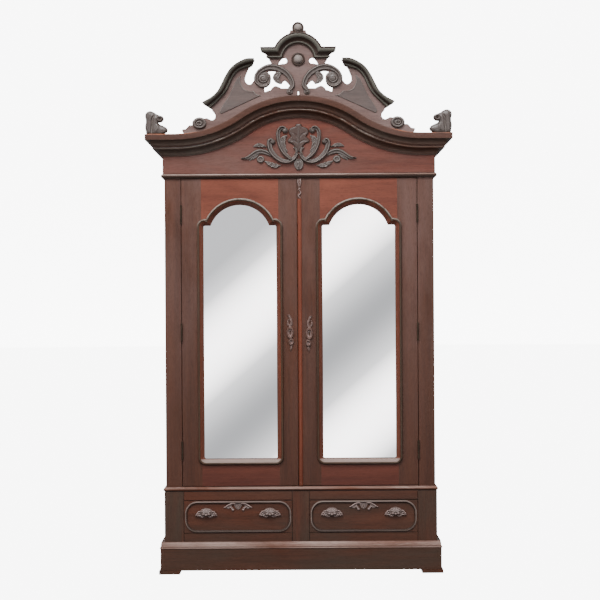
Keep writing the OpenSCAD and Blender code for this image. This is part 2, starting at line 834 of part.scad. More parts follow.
// Half-round strip on the right door's free edge, with a carved drop at each end
module astragal() {
    w = 20;
    x = free_edge(1) + w / 2;
    color("#5c2b26") {
        translate([x, front_y, door_z0]) intersection() {
            cylinder(r = w / 2, h = door_z1 - door_z0 - 100);
            translate([-w / 2, -w / 2, 0]) cube([w, w / 2, door_z1 - door_z0]);
        }
        slab(front_y - 10, front_y)
            polygon([[x - w / 2, door_z1 - 12], [x, door_z1 - 2], [x + w / 2, door_z1 - 12],
                [x + w / 2, door_z1 - 30], [x + 5, door_z1 - 60], [x + 8, door_z1 - 100],
                [x - 8, door_z1 - 100], [x - 5, door_z1 - 60], [x - w / 2, door_z1 - 30]]);
    }
}

module door_lock() {
    edge = free_edge(1);
    color("darkgoldenrod") difference() {
        block([edge, door_back_y - lock_t, lock_z - lock_h / 2],
            [edge + lock_w, door_back_y, lock_z + lock_h / 2]);
        block([edge - 1, lock_mid_y() - lock_bolt_t / 2 - play, lock_z - lock_bolt_h / 2 - play],
            [edge + 44, lock_mid_y() + lock_bolt_t / 2 + play, lock_z + lock_bolt_h / 2 + play]);
        slab(door_back_y - lock_t - 1, door_back_y - 3) translate([key_x, lock_z + 6]) keyhole();
    }
}

module door_lock_bolt() {
    edge = free_edge(1);
    color("darkgoldenrod")
        block([edge + 0.4, lock_mid_y() - lock_bolt_t / 2, lock_z - lock_bolt_h / 2],
            [edge + 42, lock_mid_y() + lock_bolt_t / 2, lock_z + lock_bolt_h / 2]);
}

// ---------- Drawers ----------

// The keyhole through a drawer front into its lock
module drawer_key_slab(y0, y1) {
    slab(y0, y1) translate([0, key_z]) keyhole();
}

module drawer_front(side) {
    color("#4a2420") translate([side * drawer_x, 0, 0]) difference() {
        block([-drawer_half, step_y, drawer_z0], [drawer_half, step_y + drawer_front_t, drawer_z1]);
        drawer_key_slab(step_y - 1, step_y + drawer_front_t - 9);
        block([-32, step_y + drawer_front_t - 10, drawer_z1 - 56],
            [32, step_y + drawer_front_t + 1, drawer_z1 + 1]);
    }
}

// Sides, back and bottom of a drawer, four loose boards
module drawer_box(side) {
    y0 = step_y + drawer_front_t;
    y1 = y0 + drawer_len;
    half = drawer_box_w / 2;
    t = drawer_side_t;
    z0 = z_open + 0.6;
    color("burlywood") translate([side * drawer_x, 0, 0]) {
        both() block([half - t, y0, z0], [half, y1, z0 + drawer_box_h]);
        block([t + seam - half, y1 - t, z0 + 6], [half - t - seam, y1, z0 + drawer_box_h]);
        block([t + seam - half, y0, z0 + 6], [half - t - seam, y1 - t - seam, z0 + 14]);
    }
}

// Oval bead and pierced keyhole plate on a drawer front
module drawer_trim(side) {
    w = 260.5;
    h = 76.5;
    z = (drawer_z0 + drawer_z1) / 2;
    color("#5c2b26") translate([side * drawer_x, 0, 0]) {
        slab(step_y - 6, step_y) difference() {
            round_rect([-w, z - h], [w, z + h], 61);
            round_rect([11 - w, z - h + 11], [w - 11, z + h - 11], 50);
        }
        slab(step_y - 6, step_y) translate([0, key_z]) difference() {
            union() {
                translate([0, -2]) circle(13);
                for (s = [-1, 1])
                    scale([s, 1]) {
                        polygon(leaf([2, -2], [69, 6], 20));
                        polygon(leaf([0, -10], [46, -20], 16));
                        translate([24, -24]) circle(5);
                    }
            }
            keyhole();
        }
    }
}

// Two carved pulls: spindles lying along the front, cut flat at the back
module drawer_pulls(side) {
    half = 54;
    r = 25;
    big = (half * half + r * r) / (2 * r);
    a = asin(half / big);
    color("#6b5048") translate([side * drawer_x, 0, 0])
        for (s = [-1, 1])
            translate([s * pull_dx, step_y, pull_z]) intersection() {
                rotate([0, 90, 0]) rotate_extrude()
                    polygon(concat([[0, -half]], arc([r - big, 0], big, -a + 2, a - 2, 10), [[0, half]]));
                translate([-half - 1, -r - 1, -r - 1]) cube([2 * half + 2, r + 1, 2 * r + 2]);
            }
}

module drawer_lock(side) {
    y1 = step_y + drawer_front_t;
    color("darkgoldenrod") translate([side * drawer_x, 0, 0]) difference() {
        block([-32 + play, y1 - 10, drawer_z1 - 56 + play], [32 - play, y1, drawer_z1]);
        drawer_key_slab(y1 - 11, y1 - 3);
    }
}

// ---------- The nodes ----------

feet();
plinth_boards();
plinth_moulding();
base_stiles();
base_rails();
base_panels();
drawer_runners();
waist_moulding();
cabinet_floor();
front_posts();
side_frames();
side_panels();
back_boards();
door_head_rail();
case_top();
hat_shelf();
shelf_cleats();
hanging_rod();
post_hinge_leaves();
frieze_boards();
frieze_bead();
cornice_moulding();
frieze_carving();
corner_finials();
crest_board();
crest_wing_panels();
crest_swan_mouldings();
crest_scrolls();
crest_hood_moulding();
crest_turnings();
left_door_stiles();
door_rails(-1);  // left_door_rails
door_mirror(-1);  // left_door_mirror
door_moulding(-1);  // left_door_moulding
door_back(-1);  // left_door_back
door_hinges(-1);  // left_door_hinges
escutcheon(-key_x);  // left_door_escutcheon
bolt_plates();
flush_bolt(true);  // top_bolt
flush_bolt(false);  // bottom_bolt
right_door_stiles();
door_rails(1);  // right_door_rails
door_mirror(1);  // right_door_mirror
door_moulding(1);  // right_door_moulding
door_back(1);  // right_door_back
door_hinges(1);  // right_door_hinges
escutcheon(key_x);  // right_door_escutcheon
astragal();
door_lock();
door_lock_bolt();
drawer_front(-1);  // left_drawer_front
drawer_box(-1);  // left_drawer_box
drawer_trim(-1);  // left_drawer_trim
drawer_pulls(-1);  // left_drawer_pulls
drawer_lock(-1);  // left_drawer_lock
drawer_front(1);  // right_drawer_front
drawer_box(1);  // right_drawer_box
drawer_trim(1);  // right_drawer_trim
drawer_pulls(1);  // right_drawer_pulls
drawer_lock(1);  // right_drawer_lock
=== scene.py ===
"""Looks of the two-door mirrored armoire: carved wood, mouldings, mirrors, studio and camera."""
import json
import math

import bmesh
import bpy
import numpy as np
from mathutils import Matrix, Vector


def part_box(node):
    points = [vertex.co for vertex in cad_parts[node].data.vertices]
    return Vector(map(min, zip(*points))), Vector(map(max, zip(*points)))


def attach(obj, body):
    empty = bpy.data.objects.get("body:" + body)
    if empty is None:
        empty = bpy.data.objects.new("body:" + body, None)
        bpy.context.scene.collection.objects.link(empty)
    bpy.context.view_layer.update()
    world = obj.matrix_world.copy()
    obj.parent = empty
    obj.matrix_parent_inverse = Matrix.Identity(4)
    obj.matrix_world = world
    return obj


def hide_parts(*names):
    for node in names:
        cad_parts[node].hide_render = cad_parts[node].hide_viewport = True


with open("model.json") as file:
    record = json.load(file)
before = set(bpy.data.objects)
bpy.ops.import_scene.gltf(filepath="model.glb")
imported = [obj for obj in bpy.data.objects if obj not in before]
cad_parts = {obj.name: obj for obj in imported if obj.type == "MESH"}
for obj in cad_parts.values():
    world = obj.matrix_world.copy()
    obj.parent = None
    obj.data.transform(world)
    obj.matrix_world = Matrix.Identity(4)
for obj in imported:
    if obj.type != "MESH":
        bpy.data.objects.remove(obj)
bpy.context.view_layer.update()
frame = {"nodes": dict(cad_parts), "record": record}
NODES = frame["nodes"]
BODY_OF = {n: b for b, names in frame["record"]["behaviour"]["bodies"].items() for n in names}
MM = 0.001


# ---------------------------------------------------------------- materials

def node(tree, kind, inputs=(), **settings):
    """Adds a shader node, sets its options and its inputs; an input may be another node's output."""
    made = tree.nodes.new(kind)
    for name, value in settings.items():
        setattr(made, name, value)
    give(tree, made, dict(inputs))
    return made


def give(tree, made, inputs):
    """Links or sets several inputs of a node."""
    for name, value in inputs.items():
        plug(tree, made.inputs[name], value)


def plug(tree, socket, value):
    """Links or sets one socket; a colour may leave out its alpha."""
    if isinstance(value, bpy.types.NodeSocket):
        tree.links.new(value, socket)
    elif isinstance(value, tuple) and len(value) == 3 and len(socket.default_value) == 4:
        socket.default_value = (*value, 1)
    else:
        socket.default_value = value


def ramp(tree, factor, stops):
    """A colour ramp over (position, colour) stops."""
    made = node(tree, "ShaderNodeValToRGB", {"Fac": factor})
    elements = made.color_ramp.elements
    while len(elements) < len(stops):
        elements.new(0.5)
    for element, (place, colour) in zip(elements, stops):
        element.position = place
        element.color = (*colour, 1)
    return made.outputs["Color"]


def step_up(tree, value, low, high):
    """0 below low, 1 above high (or the other way round)."""
    return node(tree, "ShaderNodeMapRange", {"Value": value, "From Min": low,
                                             "From Max": high}).outputs["Result"]


def mixed(tree, factor, a, b):
    """Mix of two colours."""
    made = node(tree, "ShaderNodeMix", data_type="RGBA")
    for place, value in ((0, factor), (6, a), (7, b)):
        plug(tree, made.inputs[place], value)
    return made.outputs[2]


def maths(tree, operation, a, b=0.0):
    """One operation on two values."""
    made = node(tree, "ShaderNodeMath", operation=operation)
    plug(tree, made.inputs[0], a)
    plug(tree, made.inputs[1], b)
    return made.outputs[0]


def times(tree, a, b):
    """Product of two values."""
    return maths(tree, "MULTIPLY", a, b)


def plus(tree, a, b):
    """Sum of two values."""
    return maths(tree, "ADD", a, b)


def coordinate(tree, where, axis):
    """One of the three coordinates of a place."""
    return node(tree, "ShaderNodeSeparateXYZ", {"Vector": where}).outputs[axis]


def object_place(tree):
    """Where a point is in the object's own frame."""
    return node(tree, "ShaderNodeTexCoord").outputs["Object"]


def noise(tree, where, scale, detail=6.0, roughness=0.55, distortion=0.0):
    """Value of a noise texture."""
    return node(tree, "ShaderNodeTexNoise", {"Vector": where, "Scale": scale, "Detail": detail,
                "Roughness": roughness, "Distortion": distortion}).outputs["Fac"]


def stretched(tree, where, scale):
    """Coordinates scaled by a different number along each axis."""
    return node(tree, "ShaderNodeMapping", {"Vector": where, "Scale": scale}).outputs["Vector"]


def scaled(colour, k):
    """The colour, k times as bright."""
    return tuple(k * c for c in colour)


def new_material(name):
    """A material, its tree and its shader."""
    made = bpy.data.materials.new(name)
    made.use_nodes = True
    return made, made.node_tree, made.node_tree.nodes["Principled BSDF"]


# Noise is drawn out along the grain, and its slow drift a little less
ALONG, DRIFTING = 0.05, 0.3
GRAIN = {"X": (ALONG, 1, 1), "Y": (1, ALONG, 1), "Z": (1, 1, ALONG)}
DRIFT = {"X": (DRIFTING, 1, 1), "Y": (1, DRIFTING, 1), "Z": (1, 1, DRIFTING)}
# Heights between which the painted shade towards the floor lifts and the haze grows as painted sheen from
# above
LOW, HIGH = 0.4, 2.3


def wood(name, grain, base, haze, haze_amount, rough=0.4, rub_and_highlight_colour=None, rubbed_and_highlit=0.0, painted_relief_light=0.0, contrast=1.0,
         painted_height_light=1.0, only=None):
    """Old varnished wood: streaks and pores along the grain, with a dull haze over parts of the varnish.

    rub_and_highlight_colour is the colour of rubbed places, which on the mirror frames and some mouldings is
    a painted highlight; rubbed_and_highlit is how much of the surface gets it. painted_relief_light paints
    shade into the hollow places of carving and highlight in the haze colour onto its ridges. Towards the
    floor the wood is darkened as painted shade and the haze is less, as painted sheen from above;
    painted_height_light is how much. With only = (axis, a, b), the rubbing and painted highlight grow from
    none at a to all at b on that axis."""
    made, tree, shader = new_material(name)
    where = object_place(tree)
    along = stretched(tree, where, GRAIN[grain])
    bands = noise(tree, along, 22.0, 5.0, 0.6, 0.4)
    fibres = noise(tree, along, 170.0, 4.0, 0.7)
    pores = noise(tree, along, 800.0, 2.0, 0.6)
    drift = noise(tree, stretched(tree, where, DRIFT[grain]), 3.4, 4.0, 0.6, 0.5)
    figure = plus(tree, times(tree, bands, 0.6), times(tree, fibres, 0.4))
    swing = 0.45 * contrast
    colour = ramp(tree, figure, [(0.34, scaled(base, 1 - swing)), (0.5, base),
                                 (0.66, scaled(base, 1 + swing))])
    # Painted shade and sheen: the wood is darkened towards the floor, and the haze grows upwards as painted
    # sheen from above
    height_up = step_up(tree, coordinate(tree, where, "Z"), LOW, HIGH)
    hazed = times(tree, step_up(tree, drift, 0.36, 0.64), haze_amount)
    painted_sheen_by_height = plus(tree, times(tree, height_up, 0.8 * painted_height_light), 1 - 0.75 * painted_height_light)
    colour = mixed(tree, times(tree, hazed, painted_sheen_by_height), colour, haze)
    painted_floor_shade = times(tree, maths(tree, "SUBTRACT", 1.0, height_up), 0.4 * painted_height_light)
    colour = mixed(tree, painted_floor_shade, colour, scaled(base, 0.35))
    open_pores = times(tree, step_up(tree, pores, 0.46, 0.36), 0.4)
    colour = mixed(tree, open_pores, colour, scaled(base, 0.3))
    # Painted shade in the hollow places of carving, and painted highlight in the haze colour on its ridges,
    # found from pointiness
    if painted_relief_light:
        point = node(tree, "ShaderNodeNewGeometry").outputs["Pointiness"]
        painted_hollow_shade = times(tree, step_up(tree, point, 0.49, 0.42), painted_relief_light)
        painted_crest_highlight = times(tree, step_up(tree, point, 0.51, 0.57), painted_relief_light)
        colour = mixed(tree, painted_hollow_shade, colour, scaled(BROWN, 0.5))
        colour = mixed(tree, painted_crest_highlight, colour, scaled(haze, 2.4))
    # Rubbed places in their own colour; on the mirror frames, where only limits it, this is a painted
    # highlight on the sides that face the light
    if rub_and_highlight_colour:
        rubbed = step_up(tree, noise(tree, along, 60.0, 5.0, 0.7), 0.66 - 0.3 * rubbed_and_highlit, 0.74 - 0.24 * rubbed_and_highlit)
        if only:
            axis, start, end = only
            out = maths(tree, "ABSOLUTE", coordinate(tree, where, axis))
            rubbed = times(tree, rubbed, step_up(tree, out, start, end))
        colour = mixed(tree, rubbed, colour, rub_and_highlight_colour)
    gloss = plus(tree, times(tree, drift, 0.24), rough - 0.12)
    height = plus(tree, times(tree, pores, 0.5), times(tree, fibres, 0.6))
    bump = node(tree, "ShaderNodeBump", {"Height": height, "Strength": 0.3, "Distance": 0.0006})
    give(tree, shader, {"Base Color": colour, "Roughness": plus(tree, gloss, times(tree, fibres, 0.08)),
                        "Specular IOR Level": 0.5 if painted_relief_light else 0.16, "Coat Weight": 0.04,
                        "Coat Roughness": 0.28, "Normal": bump.outputs["Normal"]})
    return made


def metal(name, colour, tarnish, rough):
    """Old metal with dull stains."""
    made, tree, shader = new_material(name)
    where = object_place(tree)
    stain = noise(tree, where, 26.0, 3.0, 0.6)
    pitting = noise(tree, where, 400.0)
    bump = node(tree, "ShaderNodeBump", {"Height": pitting, "Strength": 0.2, "Distance": 0.0003})
    give(tree, shader, {"Base Color": ramp(tree, stain, [(0.2, tarnish), (0.6, colour)]),
                        "Roughness": plus(tree, times(tree, stain, 0.3), rough - 0.15), "Metallic": 1.0,
                        "Normal": bump.outputs["Normal"]})
    return made


def silvered_glass():
    """Old plate mirror: clear silvering with a faint unevenness and a few dull specks."""
    made, tree, shader = new_material("silvered_glass")
    where = object_place(tree)
    clear, dull = (0.94, 0.94, 0.95), (0.66, 0.64, 0.62)
    specks = ramp(tree, noise(tree, where, 90.0, 3.0, 0.7), [(0.74, clear), (0.82, dull)])
    haze = times(tree, noise(tree, where, 6.0), 0.03)
    give(tree, shader, {"Base Color": specks, "Roughness": haze, "Metallic": 1.0})
    return made


HAZE = (0.120, 0.070, 0.060)
ORANGE_HAZE = (0.250, 0.078, 0.048)
GREY_HAZE = (0.105, 0.088, 0.080)
PINK_HAZE = (0.190, 0.135, 0.126)
DARK_HAZE = (0.055, 0.034, 0.026)
RUBBED = (0.38, 0.115, 0.05)
# PINK and PALE also give painted highlights on the mouldings and mirror frames
PINK = (0.37, 0.265, 0.23)
RED = (0.125, 0.036, 0.024)
BRIGHT_RED = (0.140, 0.036, 0.018)
BROWN = (0.068, 0.024, 0.013)
BASE = (0.082, 0.027, 0.015)
BASE_HAZE = (0.045, 0.036, 0.027)
DARK = (0.042, 0.021, 0.014)
OLIVE = (0.150, 0.140, 0.118)
PALE = (0.27, 0.225, 0.195)
BARE = (0.28, 0.17, 0.09)
BARE_GREY = (0.27, 0.21, 0.15)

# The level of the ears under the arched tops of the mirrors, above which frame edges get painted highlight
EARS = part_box("left_door_moulding")[1][2] - 0.15
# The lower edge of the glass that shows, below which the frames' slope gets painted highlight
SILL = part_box("left_door_moulding")[0][2] + 0.033

# What all carvings share
CARVED = {"contrast": 0.5, "painted_height_light": 0.3}

MATERIALS = {
    "frieze": wood("frieze_mahogany", "X", scaled(RED, 1.25), scaled(HAZE, 1.35), 0.75),
    "red_x": wood("red_mahogany_level", "X", scaled(RED, 1.1), scaled(ORANGE_HAZE, 1.15), 0.9, painted_height_light=1.35),
    # Painted highlights: pink on the slope of the frames' lower run, pale on their outer edge round the arch
    "frame_slope": wood("frame_mahogany", "Z", BRIGHT_RED, DARK_HAZE, 0.3, painted_height_light=0.6,
                        rub_and_highlight_colour=scaled(PINK, 0.65), rubbed_and_highlit=1.6, only=("Z", SILL, SILL - 0.006)),
    "frame_ridge": wood("frame_ridge", "Z", (0.062, 0.032, 0.017), scaled(OLIVE, 0.6), 0.4, rough=0.36,
                        painted_height_light=0.7),
    "frame_edge": wood("frame_edge", "Z", (0.062, 0.026, 0.015), scaled(OLIVE, 0.6), 0.3, rough=0.36,
                       rub_and_highlight_colour=PALE, rubbed_and_highlit=1.0, painted_height_light=0.3, only=("Z", EARS, EARS + 0.06)),
    "astragal": wood("bright_mahogany", "Z", scaled(BRIGHT_RED, 1.35), ORANGE_HAZE, 0.5, rough=0.3, painted_height_light=1.4),
    "brown_x": wood("mahogany_level", "X", BROWN, HAZE, 0.6),
    "brown_z": wood("mahogany_upright", "Z", scaled(BROWN, 1.2), scaled(HAZE, 1.45), 0.95, painted_height_light=1.15),
    # Pale wood on one side of the drawer bead as painted highlight
    "drawer_bead": wood("drawer_bead", "X", (0.14, 0.098, 0.085), (0.22, 0.175, 0.155), 0.8, rough=0.34,
                        painted_height_light=0),
    "cornice": wood("cornice_moulding", "X", scaled(BROWN, 0.9), OLIVE, 0.4, rough=0.36, painted_height_light=0),
    "dark_x": wood("dark_moulding_level", "X", DARK, DARK_HAZE, 0.6, rough=0.36),
    # Paler wood with a little rubbing, put on the upward sides of mouldings as painted highlight
    "highlight_and_rub_x": wood("highlight_and_rub_moulding", "X", scaled(BROWN, 1.8), scaled(PINK, 1.15), 0.95, rough=0.34,
                     rub_and_highlight_colour=PINK, rubbed_and_highlit=0.3, painted_height_light=0.1),
    # Paler wood with some rubbing, as painted highlight on the upper half of the cornice bead
    "highlight_and_rub_bead": wood("highlight_and_rub_bead", "X", scaled(BROWN, 1.5), GREY_HAZE, 1.0, rough=0.34, rub_and_highlight_colour=PALE,
                        rubbed_and_highlit=0.5, painted_height_light=0),
    # Pale grey wood on the fascia and bead of the crest mouldings as painted highlight
    "crest_highlight": wood("crest_moulding_highlight", "X", scaled(OLIVE, 0.7), OLIVE, 1.0, rough=0.4, contrast=0.6,
                       painted_height_light=0),
    "crest_dark": wood("crest_moulding", "X", DARK, GREY_HAZE, 0.6, rough=0.4, painted_height_light=0),
    # The top fillet's rounding: rubbed towards the ends of the cornice, and paler all along as painted
    # highlight
    "rubbed_and_highlit": wood("worn_fillet", "X", BROWN, PINK_HAZE, 0.5, rough=0.45, rub_and_highlight_colour=RUBBED, rubbed_and_highlit=0.8, painted_height_light=0,
                 only=("X", 0.44, 0.5)),
    # Dark wood on the roundings of the base's boards: painted shadow in the gaps round the drawers and rails
    "joint": wood("painted_gap_shade", "X", scaled(DARK, 0.5), DARK, 0.3, rough=0.5),
    "arris": wood("rubbed_arris", "X", BROWN, RUBBED, 0.3, rough=0.45, rub_and_highlight_colour=RUBBED, rubbed_and_highlit=0.2),
    "crest": wood("crest_wood", "X", scaled(HAZE, 1.1), scaled(PINK_HAZE, 1.5), 0.9, rough=0.45),
    # These five woods paint shade into the hollow places of their carving and highlight onto its ridges
    "crest_panel": wood("crest_panel_wood", "X", scaled(HAZE, 0.7), scaled(GREY_HAZE, 0.85), 1.0, rough=0.45,
                        painted_relief_light=0.8),
    "carved": wood("carved_wood", "X", (0.072, 0.050, 0.043), scaled(GREY_HAZE, 0.85), 0.6, rough=0.36,
                   painted_relief_light=1.0, **CARVED),
    "pale_carved": wood("pale_carved_wood", "X", (0.092, 0.060, 0.051), scaled(PINK_HAZE, 1.2), 0.3,
                        rough=0.32, painted_relief_light=1.0, **CARVED),
    "dark_carved": wood("dark_carved_wood", "X", scaled(BROWN, 0.7), scaled(GREY_HAZE, 0.35), 0.5,
                        rough=0.36, painted_relief_light=0.5, **CARVED),
    "red_carved": wood("red_carved_wood", "X", scaled(BROWN, 1.2), scaled(PINK_HAZE, 1.2), 0.25, rough=0.3,
                       painted_relief_light=1.0, **CARVED),
    "turned": wood("turned_wood", "X", scaled(GREY_HAZE, 2.2), scaled(GREY_HAZE, 3.0), 0.7, rough=0.36,
                   contrast=0.5, painted_height_light=0),
    "hinge": metal("dark_hinge_brass", (0.05, 0.035, 0.025), (0.02, 0.015, 0.012), 0.6),
    "brass": metal("old_brass", (0.16, 0.10, 0.05), (0.05, 0.035, 0.025), 0.5),
    "iron": metal("old_iron", (0.10, 0.10, 0.10), (0.05, 0.035, 0.03), 0.5),
    "mirror": silvered_glass(),
}
for axis, way in (("X", "level"), ("Y", "deep"), ("Z", "upright")):
    end = axis.lower()
    MATERIALS[f"base_{end}"] = wood(f"base_mahogany_{way}", axis, BASE, BASE_HAZE, 1.0, painted_height_light=0.35)
    MATERIALS[f"bare_{end}"] = wood(f"bare_boards_{way}", axis, BARE, BARE_GREY, 0.5, rough=0.65, painted_height_light=0)

BOARDS = {
    "frieze": ["frieze_boards"],
    "red_x": ["left_door_rails", "right_door_rails"],
    "base_x": ["plinth_boards", "base_rails", "left_drawer_front", "right_drawer_front", "cabinet_floor"],
    "crest": ["crest_board"],
    "base_y": ["feet", "base_panels"],
    "base_z": ["base_stiles"],
    "brown_z": ["front_posts", "side_frames", "side_panels", "left_door_stiles", "right_door_stiles",
                "hanging_rod"],
    "bare_x": ["door_head_rail", "case_top", "hat_shelf"],
    "bare_y": ["drawer_runners", "shelf_cleats", "left_drawer_box", "right_drawer_box"],
    "bare_z": ["left_door_back", "right_door_back"],
    "hinge": ["post_hinge_leaves", "left_door_hinges", "right_door_hinges"],
    "brass": ["door_lock", "door_lock_bolt", "left_drawer_lock", "right_drawer_lock"],
    "iron": ["bolt_plates", "top_bolt", "bottom_bolt"],
    "mirror": ["left_door_mirror", "right_door_mirror"],
}


def finish_node(name, material, edge, width):
    """Gives a CAD node its material and rounds its arrises, with a second material on the rounding:
    rubbed wood, dark painted shade of the gaps, or the same wood.
    """
    piece = NODES[name]
    piece.data.materials.clear()
    piece.data.materials.append(MATERIALS[material])
    if width:
        piece.data.materials.append(MATERIALS[edge])
        piece.modifiers.new("weld", "WELD").merge_threshold = 1e-5
        bevel = piece.modifiers.new("arris", "BEVEL")
        bevel.width = width
        bevel.segments = 2
        bevel.limit_method = "ANGLE"
        bevel.angle_limit = math.radians(40)
        bevel.material = 1


RUBBED_BOARDS = ("feet", "plinth_boards")
# Boards whose roundings get painted shadow of the gaps
GAP_SHADED_BOARDS = ("base_rails", "base_stiles", "left_drawer_front", "right_drawer_front")
ARRIS, GAP_SHADE_ARRIS = 0.0014, 0.0022


def finish_boards():
    """Finishes the CAD nodes that show: wooden ones get arrises, those of the base dark ones as painted gap
    shadow.
    """
    for material, names in BOARDS.items():
        wooden = material not in ("hinge", "brass", "iron", "mirror")
        for name in names:
            gap_shaded = name in GAP_SHADED_BOARDS
            edge = "arris" if name in RUBBED_BOARDS else "joint" if gap_shaded else material
            width = GAP_SHADE_ARRIS if gap_shaded else ARRIS
            finish_node(name, material, edge, width if wooden else 0.0)


# ---------------------------------------------------------------- mesh helpers

def add_object(name, data):
    """A new object in the scene that shows this mesh, light or camera."""
    made = bpy.data.objects.new(name, data)
    bpy.context.scene.collection.objects.link(made)
    return made


def new_piece(name, points, faces, material, sharp, extra=(), picks=None):
    """A smooth-shaded closed mesh that faces out, with its creases over `sharp` degrees kept.

    picks gives each face its material: 0 for the first one, and on through `extra`."""
    mesh = bpy.data.meshes.new(name)
    mesh.from_pydata([tuple(map(float, p)) for p in points], [], [tuple(map(int, f)) for f in faces])
    if extra:
        mesh.polygons.foreach_set("material_index", picks)
    work = bmesh.new()
    work.from_mesh(mesh)
    bmesh.ops.remove_doubles(work, verts=work.verts, dist=1e-6)
    bmesh.ops.dissolve_degenerate(work, edges=work.edges, dist=1e-6)
    bmesh.ops.recalc_face_normals(work, faces=work.faces)
    work.to_mesh(mesh)
    work.free()
    mesh.polygons.foreach_set("use_smooth", [True] * len(mesh.polygons))
    mesh.set_sharp_from_angle(angle=math.radians(sharp))
    for kind in (material, *extra):
        mesh.materials.append(MATERIALS[kind])
    return add_object(name, mesh)


def stand_for(piece, slot, *names):
    """The piece rides on the body of these CAD nodes and stands for them."""
    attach(piece, BODY_OF[names[0]])
    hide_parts(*names)


def arc(centre, radius, a0, a1, n):
    """Points on an arc, from angle a0 to a1 in degrees."""
    angles = np.radians(np.linspace(a0, a1, n + 1))
    return [(centre[0] + radius * math.cos(a), centre[1] + radius * math.sin(a)) for a in angles]


def oval_outline(centre, radii, n):
    """n points round an oval."""
    return [(centre[0] + radii[0] * x, centre[1] + radii[1] * z) for x, z in arc((0, 0), 1, 0, 360, n)[:-1]]


def smooth(points, n):
    """A Catmull-Rom curve through the points, which may have any number of coordinates."""
    p = np.asarray(points, float)
    p = np.vstack([2 * p[0] - p[1], p, 2 * p[-1] - p[-2]])
    out = []
    for a, b, c, d in zip(p, p[1:], p[2:], p[3:]):
        for t in np.arange(n) / n:
            out.append(0.5 * (2 * b + (c - a) * t + (2 * a - 5 * b + 4 * c - d) * t ** 2
                              + (3 * b - a - 3 * c + d) * t ** 3))
    out.append(p[-2])
    return np.array(out)


def skin(name, rows, material, closed_path=False, sharp=35.0, bands=None):
    """A closed mesh through rows of points, each a closed section.

    bands = {material: sides of the section} gives some of its sides another material."""
    m, n = len(rows), len(rows[0])
    points = [q for row in rows for q in row]
    faces = [(i * n + j, i * n + (j + 1) % n, (i + 1) % m * n + (j + 1) % n, (i + 1) % m * n + j)
             for i in range(m if closed_path else m - 1) for j in range(n)]
    if not closed_path:
        faces += [tuple(range(n - 1, -1, -1)), tuple((m - 1) * n + j for j in range(n))]
    picks = np.zeros(len(faces), int)
    for k, sides in enumerate((bands or {}).values()):
        for j in sides:
            picks[j:len(faces) - (0 if closed_path else 2):n] = k + 1
    return new_piece(name, points, faces, material, sharp, tuple(bands or ()), picks)


def sweep(name, stations, profile, material, bands, closed_path=False, sharp=35.0):
    """Runs a closed profile of (u, v) millimetres along stations of (point, u axis, v axis), in metres."""
    rows = [[np.asarray(p) + u * MM * np.asarray(du) + v * MM * np.asarray(dv) for u, v in profile]
            for p, du, dv in stations]
    return skin(name, rows, material, closed_path, sharp, bands)


def round_three_sides(half, face, back, z):
    """Stations of a moulding that runs along both sides and the front, mitred at the corners."""
    up = (0, 0, 1)
    return [((-half, back, z), (-1, 0, 0), up), ((-half, face, z), (-1, -1, 0), up),
            ((half, face, z), (1, -1, 0), up), ((half, back, z), (1, 0, 0), up)]


# ---------------------------------------------------------------- sizes from the frame

# Planes and levels in metres: the back, the doors' face, the floor of the doors and the frieze's face
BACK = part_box("back_boards")[1][1]
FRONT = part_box("front_posts")[0][1]
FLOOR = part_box("front_posts")[0][2]
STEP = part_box("frieze_boards")[0][1]
HALF_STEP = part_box("frieze_boards")[1][0]
END_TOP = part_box("corner_finials")[0][2]
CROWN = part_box("cornice_moulding")[1][2]
CORNICE_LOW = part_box("cornice_moulding")[0][2]
CORNICE_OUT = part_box("cornice_moulding")[1][0] - HALF_STEP
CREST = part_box("crest_board")[0][1]
KEY_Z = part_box("left_drawer_front")[1][2] - 0.026
# Half the width of the cornice arch, and the radius of its crown
ARCH_SPAN, CROWN_R = 0.607, 0.423
CAMERA_DISTANCE, EYE = 8.0, 1.340
# Hood of the crest, in millimetres: its centre over the crown, its radius and width, and its ears
HOOD_Z, HOOD_R, HOOD_W, HOOD_EAR, HOOD_EAR_TOP = 179.0, 128.0, 54.0, 185.0, 56.0
SIDES = (("left", -1), ("right", 1))


# ---------------------------------------------------------------- mouldings

def run_round(name, profile, material, rubbed):
    """Moulding round the base or frieze for a CAD node, paler on its upward sides as painted highlight."""
    stations = round_three_sides(HALF_STEP, STEP, BACK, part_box(name)[0][2])
    piece = sweep(f"{name}_run", stations, profile, material, bands={"highlight_and_rub_x": rubbed})
    stand_for(piece, "moulding_wood", name)


def plinth_moulding():
    """Moulding on top of the plinth: a rounded lip, a quirk and a cove."""
    low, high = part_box("plinth_moulding")
    out = (high[0] - HALF_STEP) / MM
    h = (high[2] - low[2]) / MM
    profile = ([(0, 0)] + arc((out - 5, 5), 5, -90, 30, 8) + [(out - 3, 9.5), (out - 5, 11)]
               + arc((out + 8, h + 4), 15.5, -150, -184, 8) + [(out - 8.5, h - 0.5), (out - 9.5, h), (0, h)])
    # The front of the lip and the cove face up and get the paler wood as painted highlight
    run_round("plinth_moulding", profile, "base_x", [*range(4, 9), *range(11, 22)])


